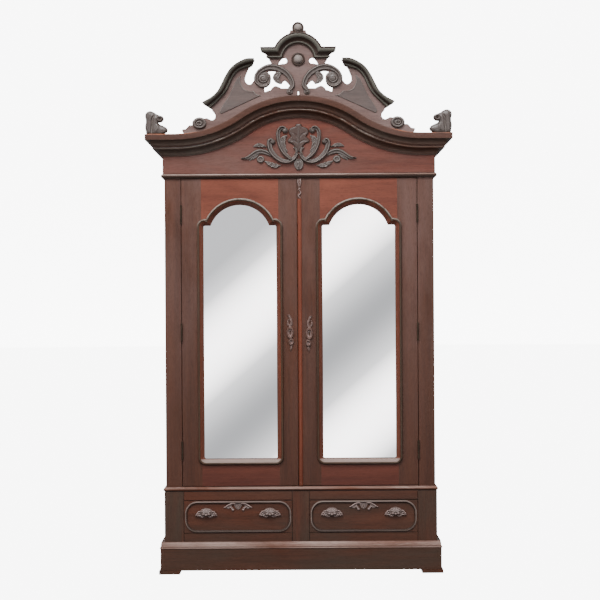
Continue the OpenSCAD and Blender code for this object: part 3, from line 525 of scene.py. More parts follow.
def waist_moulding():
    """Nosing between the base and the cabinet, with the socket of the bottom bolt."""
    low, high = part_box("waist_moulding")
    depth = 30.0
    h = (high[2] - low[2]) / MM
    nose = h / 2 - 2
    profile = ([(0, 0), (depth - 9, 0)] + arc((depth - nose, nose), nose, -80, 75, 12)
               + [(depth - 8, h - 2)] + arc((depth - 9.5, h - 1.5), 1.5, 0, 90, 4) + [(0, h)])
    half = high[0] - depth * MM
    # The top of the nose gets the paler wood as painted highlight
    piece = sweep("waist_moulding_run", round_three_sides(half, low[1] + depth * MM, BACK, low[2]), profile,
                  "base_x", bands={"highlight_and_rub_x": range(8, 15)})
    cut_bolt_socket(piece, high[2])
    stand_for(piece, "moulding_wood", "waist_moulding")


def cut_bolt_socket(piece, top):
    """The hole that the bottom bolt of the left door drops into."""
    low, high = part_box("bottom_bolt")
    rod, play, deep, turns = 3.5 * MM, 1 * MM, 20 * MM, 24
    ring = arc(((low[0] + high[0]) / 2, low[1] + rod), rod + play, 0, 360, turns)[:-1]
    rows = [[(x, y, z) for x, y in ring] for z in (top - deep, top + deep)]
    cutter = skin("bolt_socket_cutter", rows, "base_z")
    cut = piece.modifiers.new("socket", "BOOLEAN")
    cut.operation, cut.solver, cut.object = "DIFFERENCE", "EXACT", cutter
    shown = piece.evaluated_get(bpy.context.evaluated_depsgraph_get())
    piece.data = bpy.data.meshes.new_from_object(shown)
    piece.modifiers.clear()
    piece.data.set_sharp_from_angle(angle=math.radians(35))
    bpy.data.objects.remove(cutter)


def back_boards():
    """Eight upright boards, joined by tongues so that no light shows between them."""
    low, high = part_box("back_boards")
    boards, arris, gap, cheek = 8, 1.5 * MM, 0.5 * MM, 5 * MM
    face, back = [(low[0], low[1])], [(low[0], high[1])]
    for x in np.linspace(low[0], high[0], boards + 1)[1:-1]:
        for side, y, into in ((face, low[1], 1), (back, high[1], -1)):
            side += [(x - gap - arris, y), (x - gap, y + into * arris), (x - gap, y + into * cheek),
                     (x + gap, y + into * cheek), (x + gap, y + into * arris), (x + gap + arris, y)]
    section = face + [(high[0], low[1]), (high[0], high[1])] + back[::-1]
    rows = [[(x, y, z) for x, y in section] for z in (low[2], high[2])]
    piece = skin("back_boards_tongued", rows, "bare_z")
    stand_for(piece, "secondary_wood", "back_boards")


def frieze_bead():
    """Half-round bead along the frieze's lower edge: dark as painted shade, with painted highlight near its
    top.
    """
    low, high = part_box("frieze_bead")
    out, h = (high[0] - HALF_STEP) / MM, (high[2] - low[2]) / MM
    nose = [(1 + (out - 1) * math.cos(a), h * 0.5 + h * 0.4 * math.sin(a))
            for a in np.linspace(-math.pi / 2, math.pi / 2, 14)]
    profile = [(0, 0), (1, 0)] + nose + [(1, h), (0, h)]
    run_round("frieze_bead", profile, "dark_x", range(10, 14))


def arch_stations():
    """Half the lower edge of the cornice arch, from the middle out: (x, z, leaning angle)."""
    steps = 22
    rise = CROWN - END_TOP
    both = (ARCH_SPAN ** 2 + rise ** 2) / (2 * rise)
    hollow = both - CROWN_R
    lean = math.asin(ARCH_SPAN / both)
    top = CORNICE_LOW + rise
    crown = [(CROWN_R * math.sin(a), top - CROWN_R + CROWN_R * math.cos(a), a)
             for a in np.linspace(0, lean, steps + 1)]
    run_out = [(ARCH_SPAN - hollow * math.sin(a), CORNICE_LOW + hollow - hollow * math.cos(a), a)
               for a in np.linspace(lean, 0, steps + 1)[1:]]
    return crown + run_out


def cornice_profile():
    """Cornice section as (out, up): fillet, cove, bead, fascia, large cove and top fillet."""
    o = CORNICE_OUT / MM
    h = (END_TOP - CORNICE_LOW) / MM
    return ([(0, 0), (6, 0), (6, 6), (10, 6)] + arc((34, 6), 24, 180, 90, 10) + [(36, 30)]
            + arc((39, 36), 6, -90, 90, 10) + [(44, 42.5), (45, 43.5), (45, 49), (o - 29, 49)]
            + arc((o - 4, 49), 25, 180, 90, 14) + [(o - 3.5, 74)] + arc((o - 2, 76), 2, -90, 0, 3)
            + arc((o - 4, h - 4), 4, 0, 90, 5) + [(0, h)])


def cornice_moulding():
    """One run up the left side, over the arch and back along the right side, with painted highlights on the
    top fillet's rounding, which is also rubbed towards the ends, and on the upper half of the bead.
    """
    out = (0, -1, 0)
    half = [((x, STEP, z), out, (math.sin(a), 0, math.cos(a))) for x, z, a in arch_stations()]
    left = [((-p[0], p[1], p[2]), d, (-u[0], 0, u[2])) for p, d, u in half[:0:-1]]
    ends = round_three_sides(HALF_STEP, STEP, BACK, CORNICE_LOW)
    profile = cornice_profile()
    n = len(profile)
    # Painted highlights on the top fillet's rounding and the upper half of the bead; the fillet is also
    # rubbed towards its ends
    bands = {"rubbed_and_highlit": range(n - 7, n - 2), "brown_x": [n - 8, *range(28, 31)], "highlight_and_rub_bead": range(21, 27)}
    piece = sweep("cornice_run", ends[:2] + left + half + ends[2:], profile, "cornice", bands=bands)
    stand_for(piece, "moulding_wood", "cornice_moulding")


def mirror_moulding(side):
    """Bolection moulding round a mirror, with square ears under its arch."""
    name = f"{side}_door_moulding"
    low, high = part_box(name)
    width, r, arch_r, ear = 33.0, 7.0, 153.0, 52.0
    cx = (low[0] + high[0]) / 2
    half = (high[0] - low[0]) / 2 / MM - width
    arch_z = (high[2] - FLOOR) / MM - width - arch_r
    ear_z = arch_z + ear
    bottom = (low[2] - FLOOR) / MM + width
    meet = math.degrees(math.asin(ear / arch_r))
    # Half the visible outline from the top of the arch outwards: x, z and the direction away from the glass
    outline = [(x, z, x / arch_r, (z - arch_z) / arch_r)
               for x, z in arc((0, arch_z), arch_r, 90, meet, 22)[:-1]]
    nx, nz = math.cos(math.radians(meet)), math.sin(math.radians(meet))
    outline.append((arch_r * nx, ear_z, nx / (1 + nz), 1.0))
    for corner, a0, a1 in (((half - r, ear_z - r), 90, 0), ((half - r, bottom + r), 0, -90)):
        outline += [(x, z, (x - corner[0]) / r, (z - corner[1]) / r) for x, z in arc(corner, r, a0, a1, 8)]
    left = [(-x, z, -a, b) for x, z, a, b in outline[:0:-1]]
    stations = [((cx + x * MM, FRONT, FLOOR + z * MM), (a, 0, b), (0, -1, 0))
                for x, z, a, b in outline + left]
    glass = (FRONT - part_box(f"{side}_door_mirror")[0][1]) / MM
    slope = [(0, glass + 0.2), (0, -9), (1.5, -8), (3, -8), (4, -6), (8, -1), (13, 5), (17.5, 9.5),
             (19.5, 10.5)]
    profile = (slope + [(20, 9.6), (20.8, 9.6)] + arc((25, 9), 4.6, 165, 10, 8) + [(29.8, 6.5), (30.4, 5)]
               + arc((31.3, 2.5), 1.7, 90, 0, 3) + [(33, 0), (10.6, 0), (10.6, glass + 0.2)])
    # The slope's lower run and the outer edge round the arch carry painted highlights
    bands = {"frame_slope": range(2, len(slope) - 1), "frame_edge": range(len(slope) + 7, len(profile) - 2)}
    piece = sweep(f"{side}_mirror_moulding", stations, profile, "frame_ridge", bands, closed_path=True,
                  sharp=50)
    stand_for(piece, "moulding_wood", name)


def fascia(start, width):
    """Upper part of the crest's mouldings, which falls away from the top fillet."""
    return [(start + width * t, 43 - 9 * t * t) for t in np.linspace(0, 1, 7)]


def cove(start, width):
    """Hollow under it."""
    return [(start + width * t, 27 - 14 * math.sin(t * math.pi / 2)) for t in np.linspace(0, 1, 6)]


def swan_mouldings():
    """Cyma over each wing of the crest: a top fillet, a deep cove and a small bead, tapering outwards."""
    outer = smooth([(215, 181), (255, 179), (300, 158), (331, 132), (355, 96), (373, 60), (394, 22),
                    (425, -7), (469, -32)], 6)
    inner = smooth([(223, 150), (248, 140), (285, 128), (309, 106), (324, 81), (338, 50), (356, 18),
                    (388, -18), (432, -60)], 6)
    bead = [(0.70 + 0.26 * t, 13 + 5 * math.sin(t * math.pi)) for t in np.linspace(0, 1, 7)]
    profile = [(0, 0), (0, 43), (0.02, 44.5), (0.08, 44.5), (0.11, 42), *fascia(0.14, 0.34), (0.50, 29),
               *cove(0.52, 0.16), *bead, (1, 8), (1, 0)]
    # The fascia and the bead face up and get a painted highlight
    bands = {"crest_highlight": [*range(4, 11), *range(18, 25)]}
    for word, side in SIDES:
        rows = []
        for a, b in zip(outer, inner):
            rows.append([(side * (a[0] + (b[0] - a[0]) * u) * MM, CREST - min(v, 44.9) * MM,
                          CROWN + (a[1] + (b[1] - a[1]) * u) * MM) for u, v in profile])
        piece = skin(f"swan_moulding_{word}", rows, "crest_dark", bands=bands)
        stand_for(piece, "moulding_wood", "crest_swan_mouldings")


def hood_moulding():
    """Hood over the boss: an arch between two level ears, mitred where they meet and returned at the ends."""
    profile = ([(0, 0), (0, 43)] + arc((2, 43), 2, 180, 90, 3) + [(5, 44.5), (6, 42), (8, 42)]
               + fascia(10, 14) + [(25, 29), (26, 27)] + cove(26, 14) + [(40, 12)]
               + arc((44, 12), 4, 150, 10, 6) + [(49, 10), (51, 7), (HOOD_W, 6), (HOOD_W, 0)])
    ear_end = HOOD_EAR - 45
    half = [[(ear_end + v, -v * out, HOOD_EAR_TOP - u) for u, v in profile] for out in (0, 1)]
    half.append([(math.sqrt((HOOD_R - u) ** 2 - (HOOD_EAR_TOP - u) ** 2), -v, HOOD_EAR_TOP - u)
                 for u, v in profile])
    for t in np.linspace(0, 1, 20)[1:]:
        row = []
        for u, v in profile:
            first = math.asin((HOOD_EAR_TOP - u) / (HOOD_R - u))
            a = first + (math.pi / 2 - first) * t
            row.append(((HOOD_R - u) * math.cos(a), -v, (HOOD_R - u) * math.sin(a)))
        half.append(row)
    whole = half + [[(-x, y, z) for x, y, z in row] for row in half[-2::-1]]
    rows = [[(x * MM, CREST + y * MM, CROWN + (HOOD_Z + z) * MM) for x, y, z in row] for row in whole]
    # The fascia and the bead get a painted highlight
    piece = skin("hood_moulding", rows, "crest_dark", bands={"crest_highlight": [*range(8, 15), *range(23, 30)]})
    stand_for(piece, "moulding_wood", "crest_hood_moulding")


def turned(name, z, r, high):
    """Turned button in the middle, facing the front: a rounded rim, a quirk and a dome."""
    k = r / 29.5
    profile = ([(0, -6), (r, -6)] + arc((r - 5 * k, 3 * k), 5 * k, 0, 90, 6) + [(r - 10 * k, 5 * k)]
               + arc((r - 10 * k, 7.5 * k), 2.5 * k, -90, -180, 4)
               + [((r - 11.5 * k) * math.cos(a), 4 * k + (high - 4 * k) * math.sin(a) ** 0.8)
                  for a in np.linspace(0.12, math.pi / 2, 12)])
    turns = 48
    rows = [[(x * d * MM, CREST - h * MM, CROWN + (z + up * d) * MM) for d, h in profile]
            for x, up in arc((0, 0), 1, 0, 360, turns)[:-1]]
    piece = skin(name, rows, "turned", closed_path=True, bands={"crest_dark": range(9)})
    stand_for(piece, "carved_wood", "crest_turnings")


def crest_turnings():
    """Turned boss and roundel in the middle, and an oval carved rosette at each end."""
    turned("crest_boss", HOOD_Z, 33, 24)
    turned("crest_roundel", 333, 29.5, 23)
    out, down = 0.484, 0.131
    for word, side in SIDES:
        r = Relief((-36, -31), (36, 31), 1.2)
        r.bud((0, 0), (34, 28), 9)
        r.ring((0, 0), (26, 21), 6, 15)
        r.ring((2, -1), (12, 9), 4.5, 15)
        r.bud((3, -1), (6, 5), 13)
        r.piece(f"crest_rosette_{word}", "crest_turnings", (side * out, CROWN - down), CREST, "carved", side)


# ---------------------------------------------------------------- relief carving

class Relief:
    """Carving as a height in millimetres over a grid in the plane of a board."""

    EDGE = 2.0
    SUNK = -3.0

    def __init__(self, low, high, step, mirrored=False):
        self.x = np.arange(low[0], high[0] + step, step)
        self.z = np.arange(low[1], high[1] + step, step)
        gx, self.pz = np.meshgrid(self.x, self.z, indexing="ij")
        self.px = np.abs(gx) if mirrored else gx
        self.height = np.full(gx.shape, self.SUNK)

    def off(self, a, dx, dz):
        """How far each place is from a stretch of line that starts at a, in x and z, and how far along."""
        x, z = self.px - a[0], self.pz - a[1]
        t = np.clip((x * dx + z * dz) / (dx * dx + dz * dz + 1e-9), 0, 1)
        return x - t * dx, z - t * dz, t

    def along(self, points):
        """Nearest place on a smooth line of (x, z, half width).

        Gives how far across it is (-1 to 1), how far along (0 to 1) and the half width there."""
        line = smooth(points, 6)
        best = np.full(self.px.shape, 1e9)
        across, place, width = (np.zeros(self.px.shape) for _ in range(3))
        count = len(line) - 1
        for i, (a, b) in enumerate(zip(line, line[1:])):
            dx, dz = b[0] - a[0], b[1] - a[1]
            ox, oz, t = self.off(a, dx, dz)
            w = a[2] + (b[2] - a[2]) * t
            d = np.hypot(ox, oz) / np.maximum(w, 0.3)
            near = d < best
            best = np.where(near, d, best)
            across = np.where(near, np.sign(dx * oz - dz * ox) * d, across)
            place = np.where(near, (i + t) / count, place)
            width = np.where(near, w, width)
        return across, place, width

    def raise_to(self, inside, top):
        """Adds a form: `inside` is the distance in from its outline, `top` its height there."""
        wall = np.clip(inside / self.EDGE, -1.5, 1)
        shown = np.where(inside > 0, top * np.sqrt(np.clip(wall, 0, 1)), wall * 2)
        self.height = np.maximum(self.height, shown)

    def scroll(self, points, high, roll=0.4):
        """A scroll band: a rolled edge on the left of its line and a hollow on the right."""
        u, _, w = self.along(points)
        body = 0.36 + 0.24 * np.sqrt(np.clip(1 - u * u, 0, 1))
        rolled = roll * np.exp(-((u - 0.45) / 0.38) ** 2) + 0.1 * np.exp(-((u + 0.75) / 0.2) ** 2)
        self.raise_to((1 - np.abs(u)) * w, high * (body + rolled))

    def leaf(self, points, high, veins, lobes=0.0):
        """A pointed leaf along a line: a midrib, side veins and a lobed edge."""
        u, s, w = self.along(points)
        lobed = 1 - lobes * np.abs(np.sin(math.pi * veins * s)) ** 0.7
        v = np.abs(u) / np.maximum(lobed, 0.2)
        swell = 0.35 * np.sqrt(np.clip(1 - (2 * s - 1) ** 2, 0, 1)) + 0.65
        rib = 0.25 * np.exp(-(u / 0.16) ** 2)
        vein = 0.14 * np.sin(2 * math.pi * (veins * s - 0.8 * np.abs(u))) * np.clip(1 - v, 0, 1)
        dish = 0.66 + 0.30 * v * v
        self.raise_to((lobed - np.abs(u)) * w, high * swell * (dish + rib + vein))

    def oval(self, centre, radii):
        """How far each place is from the centre of an oval, 1 on its outline."""
        return np.hypot((self.px - centre[0]) / radii[0], (self.pz - centre[1]) / radii[1])

    def bud(self, centre, radii, high):
        """A rounded bud or berry."""
        r = self.oval(centre, radii)
        self.raise_to((1 - r) * min(radii), high * np.sqrt(np.clip(1 - 0.8 * r * r, 0, 1)))

    def ring(self, centre, radii, band, high):
        """A raised oval ring."""
        r = self.oval(centre, radii)
        u = (r - 1) * min(radii) / band
        self.raise_to((1 - np.abs(u)) * band, high * (0.5 + 0.5 * np.sqrt(np.clip(1 - u * u, 0, 1))))

    def keyhole(self, z, slot):
        """A round hole over a slot, whose middle is at z."""
        self.hole((0, z + slot + 1), (3.2, 3.2))
        self.hole((0, z), (1.7, slot))

    def shape(self, outline, high, soft):
        """A form with a straight-sided or curved outline, its edge rounded over `soft`."""
        ring = np.asarray(outline, float)
        inside = np.zeros(self.px.shape, bool)
        distance = np.full(self.px.shape, 1e9)
        for a, b in zip(ring, np.roll(ring, -1, axis=0)):
            dx, dz = b - a
            distance = np.minimum(distance, np.hypot(*self.off(a, dx, dz)[:2]))
            crosses = (a[1] > self.pz) != (b[1] > self.pz)
            inside ^= crosses & (self.px < a[0] + (self.pz - a[1]) * dx / (dz if abs(dz) > 1e-9 else 1e-9))
        signed = np.where(inside, distance, -distance)
        k = np.clip(signed / soft, 0, 1)
        self.raise_to(signed, high * (0.35 + 0.65 * np.sqrt(1 - (1 - k) ** 2)))

    def line(self, points, rise):
        """A ridge (or with a negative rise a groove) along a line, on what is already there."""
        u, s, _ = self.along(points)
        taper = np.sqrt(np.clip(np.sin(np.pi * np.clip(s, 0.02, 0.98)), 0, 1))
        there = self.height > 0
        self.height = np.where(there, np.maximum(self.height + rise * taper * np.exp(-u * u), 0.5),
                               self.height)

    def hole(self, centre, radii):
        """Cuts a hole right through."""
        r = self.oval(centre, radii)
        sunk = np.clip((r - 1) * min(radii) * 3 + self.SUNK + 2, self.SUNK, None)
        self.height = np.where(r < 1.25, np.minimum(self.height, np.where(r < 1, self.SUNK, sunk + 3)),
                               self.height)

    def piece(self, name, node_name, at, face, material, side=1, back=3.0, double=False):
        """Closed mesh of the relief on the plane y = face, its zero at `at` (metres), for a CAD node.

        double carves both faces; side = -1 turns the carving round, left for right."""
        shown = self.height > self.SUNK + 0.5
        cells = shown[:-1, :-1] & shown[1:, :-1] & shown[1:, 1:] & shown[:-1, 1:]
        rear = face + self.height * MM if double else np.full(self.height.shape, face + back * MM)
        made = grid_solid(name, self.x * MM * side + at[0], self.z * MM + at[1], face - self.height * MM,
                          rear, cells, material, side)
        stand_for(made, "carved_wood", node_name)


def grid_solid(name, xs, zs, front, rear, cells, material, side):
    """Closed mesh between two height fields over the marked cells of a grid."""
    used = np.zeros(front.shape, bool)
    for di, dj in ((0, 0), (1, 0), (1, 1), (0, 1)):
        used[di:di + cells.shape[0], dj:dj + cells.shape[1]] |= cells
    index = np.full(front.shape, -1)
    index[used] = np.arange(used.sum())
    count = int(used.sum())
    gx, gz = np.meshgrid(xs, zs, indexing="ij")
    points = np.vstack([np.column_stack([gx[used], y[used], gz[used]]) for y in (front, rear)])
    i, j = np.nonzero(cells)
    quads = np.column_stack([index[i, j], index[i + 1, j], index[i + 1, j + 1], index[i, j + 1]])
    faces = [quads, quads[:, ::-1] + count]
    pad = np.pad(cells, 1)
    for (di, dj), (a, b) in {(0, -1): ((0, 0), (1, 0)), (1, 0): ((1, 0), (1, 1)), (0, 1): ((1, 1), (0, 1)),
                             (-1, 0): ((0, 1), (0, 0))}.items():
        rim = cells & ~pad[1 + di:1 + di + cells.shape[0], 1 + dj:1 + dj + cells.shape[1]]
        i, j = np.nonzero(rim)
        p, q = index[i + a[0], j + a[1]], index[i + b[0], j + b[1]]
        faces.append(np.column_stack([q, p, p + count, q + count]))
    faces = np.vstack(faces)
    if side < 0:
        faces = faces[:, ::-1]
    return new_piece(name, points, faces, material, sharp=60.0)


def volute(centre, radii, angles, widths, n):
    """Points of (x, z, half width) winding in or out round a centre."""
    k = np.linspace(0, 1, n)
    r = radii[0] + (radii[1] - radii[0]) * k
    a = np.radians(angles[0] + (angles[1] - angles[0]) * k)
    w = widths[0] + (widths[1] - widths[0]) * k
    return [(centre[0] + p * math.cos(q), centre[1] + p * math.sin(q), v) for p, q, v in zip(r, a, w)]


def frieze_carving():
    """Spray of crossing C scrolls, a lobed palmette and trailing leaves, about the crown of the arch."""
    r = Relief((-290, -262), (290, -22), 1.6, mirrored=True)
    palmette = smooth([(0, -29), (12, -31), (18, -42), (31, -46), (45, -54), (50, -66), (46, -80), (38, -90),
                       (44, -98), (53, -108), (51, -120), (36, -125), (26, -134), (14, -150), (0, -170)], 5)
    whole = [tuple(p) for p in palmette] + [(-p[0], p[1]) for p in palmette[-2:0:-1]]
    at = (0, CROWN - (END_TOP - CORNICE_LOW))
    r.shape(whole, 9, 9)
    r.line([(0, -40, 3), (0, -90, 4), (0, -150, 5)], 4)
    r.line([(4, -100, 2), (18, -80, 3), (38, -72, 2)], -3)
    r.line([(4, -125, 2), (20, -112, 3), (42, -114, 2)], -3)
    r.piece("frieze_palmette", "frieze_carving", at, STEP, "dark_carved")
    r = Relief((-290, -262), (290, -22), 1.6, mirrored=True)
    r.leaf([(60, -88, 4), (75, -102, 13), (79, -124, 15), (73, -146, 12), (58, -164, 4)], 15, veins=3,
           lobes=0.15)
    r.scroll([(64, -62, 8), (72, -50, 9), (86, -50, 10), (97, -62, 10), (101, -80, 10), (99, -104, 10),
              (92, -131, 11), (79, -160, 11), (60, -184, 10), (34, -205, 6)], 19, roll=0.6)
    r.bud((66, -62), (15, 14), 19)
    r.scroll([(127, -120, 8), (134, -109, 10), (143, -115, 12), (144, -130, 13), (139, -154, 13),
              (125, -178, 13), (103, -199, 12), (76, -213, 12), (48, -213, 11), (23, -199, 10),
              (6, -178, 5)], 18, roll=0.6)
    r.bud((128, -117), (14, 13), 18)
    r.scroll([(138, -182, 6), (158, -170, 11), (184, -163, 12), (208, -168, 12), (232, -183, 10),
              (254, -196, 8), (280, -197, 3)], 15, roll=0.5)
    r.leaf([(196, -180, 3), (218, -190, 9), (240, -206, 3)], 8, veins=3)
    r.bud((187, -203), (19, 18), 7)
    r.ring((187, -203), (13, 12), 5, 11)
    r.leaf([(160, -142, 3), (178, -136, 8), (200, -133, 9), (222, -140, 2)], 13, veins=2)
    r.leaf([(92, -234, 4), (118, -234, 13), (144, -224, 11), (166, -213, 3)], 12, veins=4, lobes=0.2)
    r.scroll([(24, -146, 3), (14, -152, 6), (10, -166, 6), (16, -180, 5)], 15, roll=0.4)
    r.leaf([(0, -210, 9), (0, -225, 23), (0, -240, 16), (0, -252, 3)], 14, veins=2)
    r.piece("frieze_spray", "frieze_carving", at, STEP, "carved")


def crest_scrolls():
    """C scrolls of the crest: a rolled band from a small foot volute into a large one with a raised eye."""
    band = [(40, 34, 11), (28, 54, 12), (38, 87, 13), (62, 116, 14), (96, 136, 15), (130, 143, 15),
            (162, 137, 13), (190, 120, 11), (204, 98, 10), (204, 74, 10), (192, 57, 9), (172, 50, 9),
            (152, 56, 8), (142, 74, 7), (142, 92, 3)]
    for word, side in SIDES:
        r = Relief((14, -2), (218, 164), 1.6)
        r.scroll(band, 16, roll=0.45)
        r.bud((172, 86), (34, 34), 4)
        r.bud((172, 86), (25, 22), 14)
        r.line(volute((172, 86), (19, 4), (160, 520), (2.4, 1.6), 16), -4)
        r.bud((42, 22), (16, 16), 9)
        r.bud((44, 22), (8, 8), 13)
        r.leaf([(82, 120, 5), (98, 106, 14), (110, 90, 16), (98, 72, 10), (84, 62, 3)], 10, veins=3,
               lobes=0.15)
        r.piece(f"c_scroll_{word}", "crest_scrolls", (0, CROWN), CREST, "carved", side)


def wing_panels():
    """Raised panels of the wings, their edges rounded to a bead of light."""
    outline = ([(386, -74), (378, -86), (192, -1), (178, 2)]
               + [tuple(p) for p in smooth([(178, 2), (205, 10), (219, 24), (238, 25), (262, 32), (276, 50),
                                            (284, 76), (279, 104)], 5)]
               + [(300, 86), (318, 50), (340, 2), (372, -46)])
    curl = [(180, 4, 4), (205, 11, 5), (220, 25, 5), (239, 26, 5), (262, 33, 5), (275, 51, 5), (283, 76, 4),
            (280, 98, 3)]
    for word, side in SIDES:
        r = Relief((172, -92), (392, 112), 1.8)
        r.shape(outline, 4.2, 3)
        r.line(curl, 3.5)
        r.piece(f"wing_panel_{word}", "crest_wing_panels", (0, CROWN), CREST, "crest_panel", side)


def corner_finials():
    """Carved corner leaves: a tall outer lobe, a curled inner lobe and a flaring skirt, cut on both faces."""
    low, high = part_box("corner_finials")
    thick = (high[1] - low[1]) / MM
    outline = smooth([(-7, -3), (-3, 20), (-1, 40), (-5, 66), (-1, 90), (-5, 105), (-22, 113), (-40, 108),
                      (-56, 98), (-74, 90), (-86, 80), (-84, 68), (-72, 61), (-64, 56), (-70, 48), (-86, 41),
                      (-103, 31), (-108, 18), (-98, 6), (-72, -3)], 3)
    for word, side in SIDES:
        r = Relief((-110, -4), (0, 114), 1.6)
        r.shape([tuple(p) for p in outline], thick / 2 - 8, 30)
        r.line([(-14, 4, 6), (-14, 50, 7), (-22, 104, 5)], 5)
        r.line([(-30, 2, 4), (-34, 40, 5), (-36, 74, 5), (-48, 94, 3)], -9)
        r.line([(-52, 12, 5), (-62, 30, 6), (-58, 50, 4)], 4)
        r.ring((-71, 75), (11, 10), 6, thick / 2 - 3)
        r.bud((-71, 75), (5, 5), thick / 2 - 5)
        r.piece(f"finial_{word}", "corner_finials", (side * high[0], END_TOP), (low[1] + high[1]) / 2,
                "carved", side, double=True)


def escutcheon(side):
    """Carved keyhole plate: an oval ring, a smaller ring under it, a leaf over it and a tail."""
    name = f"{side}_door_escutcheon"
    low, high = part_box(name)
    sign, drop = (-1, 0.003) if side == "left" else (1, 0.009)
    r = Relief((-20, -92), (20, 98), 0.9)
    r.shape(oval_outline((0, 0), (14, 25), 24), 2.5, 3)
    r.ring((0, 0), (13.5, 24), 5, 11)
    r.shape(oval_outline((-5, -46), (10, 13), 18), 2, 2)
    r.ring((-5, -46), (10, 12.5), 4.5, 10)
    r.bud((-6, -56), (6, 5.5), 11)
    r.leaf([(0, 26, 6), (-5, 40, 8), (-6, 56, 8), (0, 72, 8), (6, 84, 6), (14, 86, 2)], 7, veins=4, lobes=0.2)
    r.leaf([(2, 30, 3), (10, 42, 6), (12, 56, 5), (7, 66, 2)], 6, veins=3)
    r.leaf([(-6, -60, 5), (-4, -74, 6), (-1, -90, 2)], 6, veins=3)
    r.keyhole(-3, 6)
    at = ((low[0] + high[0]) / 2, (low[2] + high[2]) / 2 - drop)
    r.piece(f"{side}_keyhole_carving", name, at, FRONT, "red_carved", sign, back=1.0)


def drawer_trim(side):
    """Drawer bead, a run of half round, and a bat-wing keyhole plate over the lock."""
    name = f"{side}_drawer_trim"
    low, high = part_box(name)
    cx, cz = (low[0] + high[0]) / 2, (low[2] + high[2]) / 2
    half, tall = (high[0] - low[0]) / 2 / MM, (high[2] - low[2]) / 2 / MM
    bend, width, proud = 61.0, 12.0, 7.0
    swell = [(-width / 2 * (1 - math.cos(a)), 1 + (proud - 1) * math.sin(a))
             for a in np.linspace(0, math.pi, 11)]
    profile = [(0, 0), *swell, (-width, 0)]
    stations = []
    for sx, sz, a0 in ((1, 1, 90), (1, -1, 0), (-1, -1, -90), (-1, 1, -180)):
        c = (sx * (half - bend), sz * (tall - bend))
        for x, z in arc(c, bend, a0, a0 - 90, 14):
            outward = ((x - c[0]) / bend, 0, (z - c[1]) / bend)
            stations.append(((cx + x * MM, STEP, cz + z * MM), outward, (0, -1, 0)))
    # The dark bead gets the paler wood on one side as painted highlight
    bead = sweep(f"{side}_drawer_bead", stations, profile, "dark_x", closed_path=True,
                 bands={"drawer_bead": range(1, 6)})
    stand_for(bead, "moulding_wood", name)
    r = Relief((-70, -26), (70, 17), 0.9, mirrored=True)
    r.shape([(0, 15), (16, 13), (19, 2), (12, -12), (0, -19)] + [(-12, -12), (-19, 2), (-16, 13)], 3.2, 4)
    r.scroll([(14, 10, 3), (28, 12, 5), (46, 4, 6), (58, -4, 5), (69, -7, 1.5)], 8, roll=0.5)
    r.leaf([(34, 0, 2), (46, -8, 5), (60, -8, 2)], 5, veins=2)
    r.scroll([(44, -2, 2), (34, -6, 4), (28, -12, 4), (25, -18, 3)], 7, roll=0.5)
    r.bud((25, -18), (7, 6.5), 9)
    r.keyhole(-4, 5)
    r.piece(f"{side}_drawer_plate", name, (cx, KEY_Z), STEP, "pale_carved", back=1.0)


def drawer_pulls(side):
    """Carved pulls: a cluster of fruit under a shell, between two pointed leaves."""
    name = f"{side}_drawer_pulls"
    low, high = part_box(name)
    proud = (high[1] - low[1]) / MM
    cz = (low[2] + high[2]) / 2
    for k, x in enumerate((low[0] + 0.054, high[0] - 0.054)):
        r = Relief((-54, -25), (54, 25), 0.9, mirrored=True)
        r.leaf([(6, -2, 8), (24, 0, 15), (40, -6, 11), (53, -14, 2)], proud * 0.62, veins=4, lobes=0.2)
        r.bud((0, 6), (31, 18), proud * 0.86)
        for a in (30, 60, 90):
            c, s = math.cos(math.radians(a)), math.sin(math.radians(a))
            r.line([(6 * c, 2 + 4 * s, 1.6), (17 * c, 6 + 10 * s, 2.2), (30 * c, 6 + 18 * s, 1.6)], -3.5)
        r.bud((13, -5), (11, 9), proud * 0.96)
        r.bud((0, -8), (10, 9), proud * 0.99)
        r.leaf([(6, -12, 4), (18, -16, 7), (32, -18, 2)], proud * 0.55, veins=2)
        r.piece(f"{side}_pull_{k + 1}", name, (x, cz), STEP, "pale_carved", back=1.0)


def astragal():
    """Rounded strip beside the joint of the doors, with a carved drop at its top."""
    low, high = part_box("astragal")
    width, proud = (high[0] - low[0]) / MM, (FRONT - low[1]) / MM
    drop_low = high[2] - 0.098
    nose = [(1.5 + (width - 3) * (0.5 - 0.5 * math.cos(a)), proud * (0.35 + 0.62 * math.sin(a) ** 0.7))
            for a in np.linspace(0, math.pi, 13)]
    profile = [(0, 0), (0, proud * 0.3)] + nose + [(width, proud * 0.3), (width, 0)]
    rows = [[(low[0] + u * MM, FRONT - v * MM, z) for u, v in profile]
            for z in np.linspace(low[2], drop_low, 30)]
    strip = skin("astragal_strip", rows, "astragal")
    stand_for(strip, "moulding_wood", "astragal")
    half = width / 2
    r = Relief((-half, 0), (half, 98), 0.9)
    r.leaf([(0, 96, 9), (0, 84, 10), (0, 68, 7), (0, 56, 2)], proud * 0.95, veins=3)
    r.bud((0, 50), (6, 6), proud * 0.85)
    r.scroll([(-5, 44, 3), (4, 36, 4), (4, 26, 4), (-4, 20, 4)], proud * 0.95)
    r.scroll([(5, 28, 3), (-4, 20, 4), (-4, 10, 4), (3, 3, 4)], proud * 0.95)
    r.piece("astragal_drop", "astragal", (low[0] + half * MM, drop_low), FRONT, "red_carved", back=0.5)


# ---------------------------------------------------------------- studio and camera

def area_light(name, place, aim, size, power):
    """A soft light of this width and height that faces its aim."""
    light = bpy.data.lights.new(name, "AREA")
    light.shape = "RECTANGLE"
    light.size, light.size_y = size
    light.energy = power
    made = add_object(name, light)
    made.location = place
    made.rotation_euler = (Vector(aim) - Vector(place)).to_track_quat("-Z", "Y").to_euler()


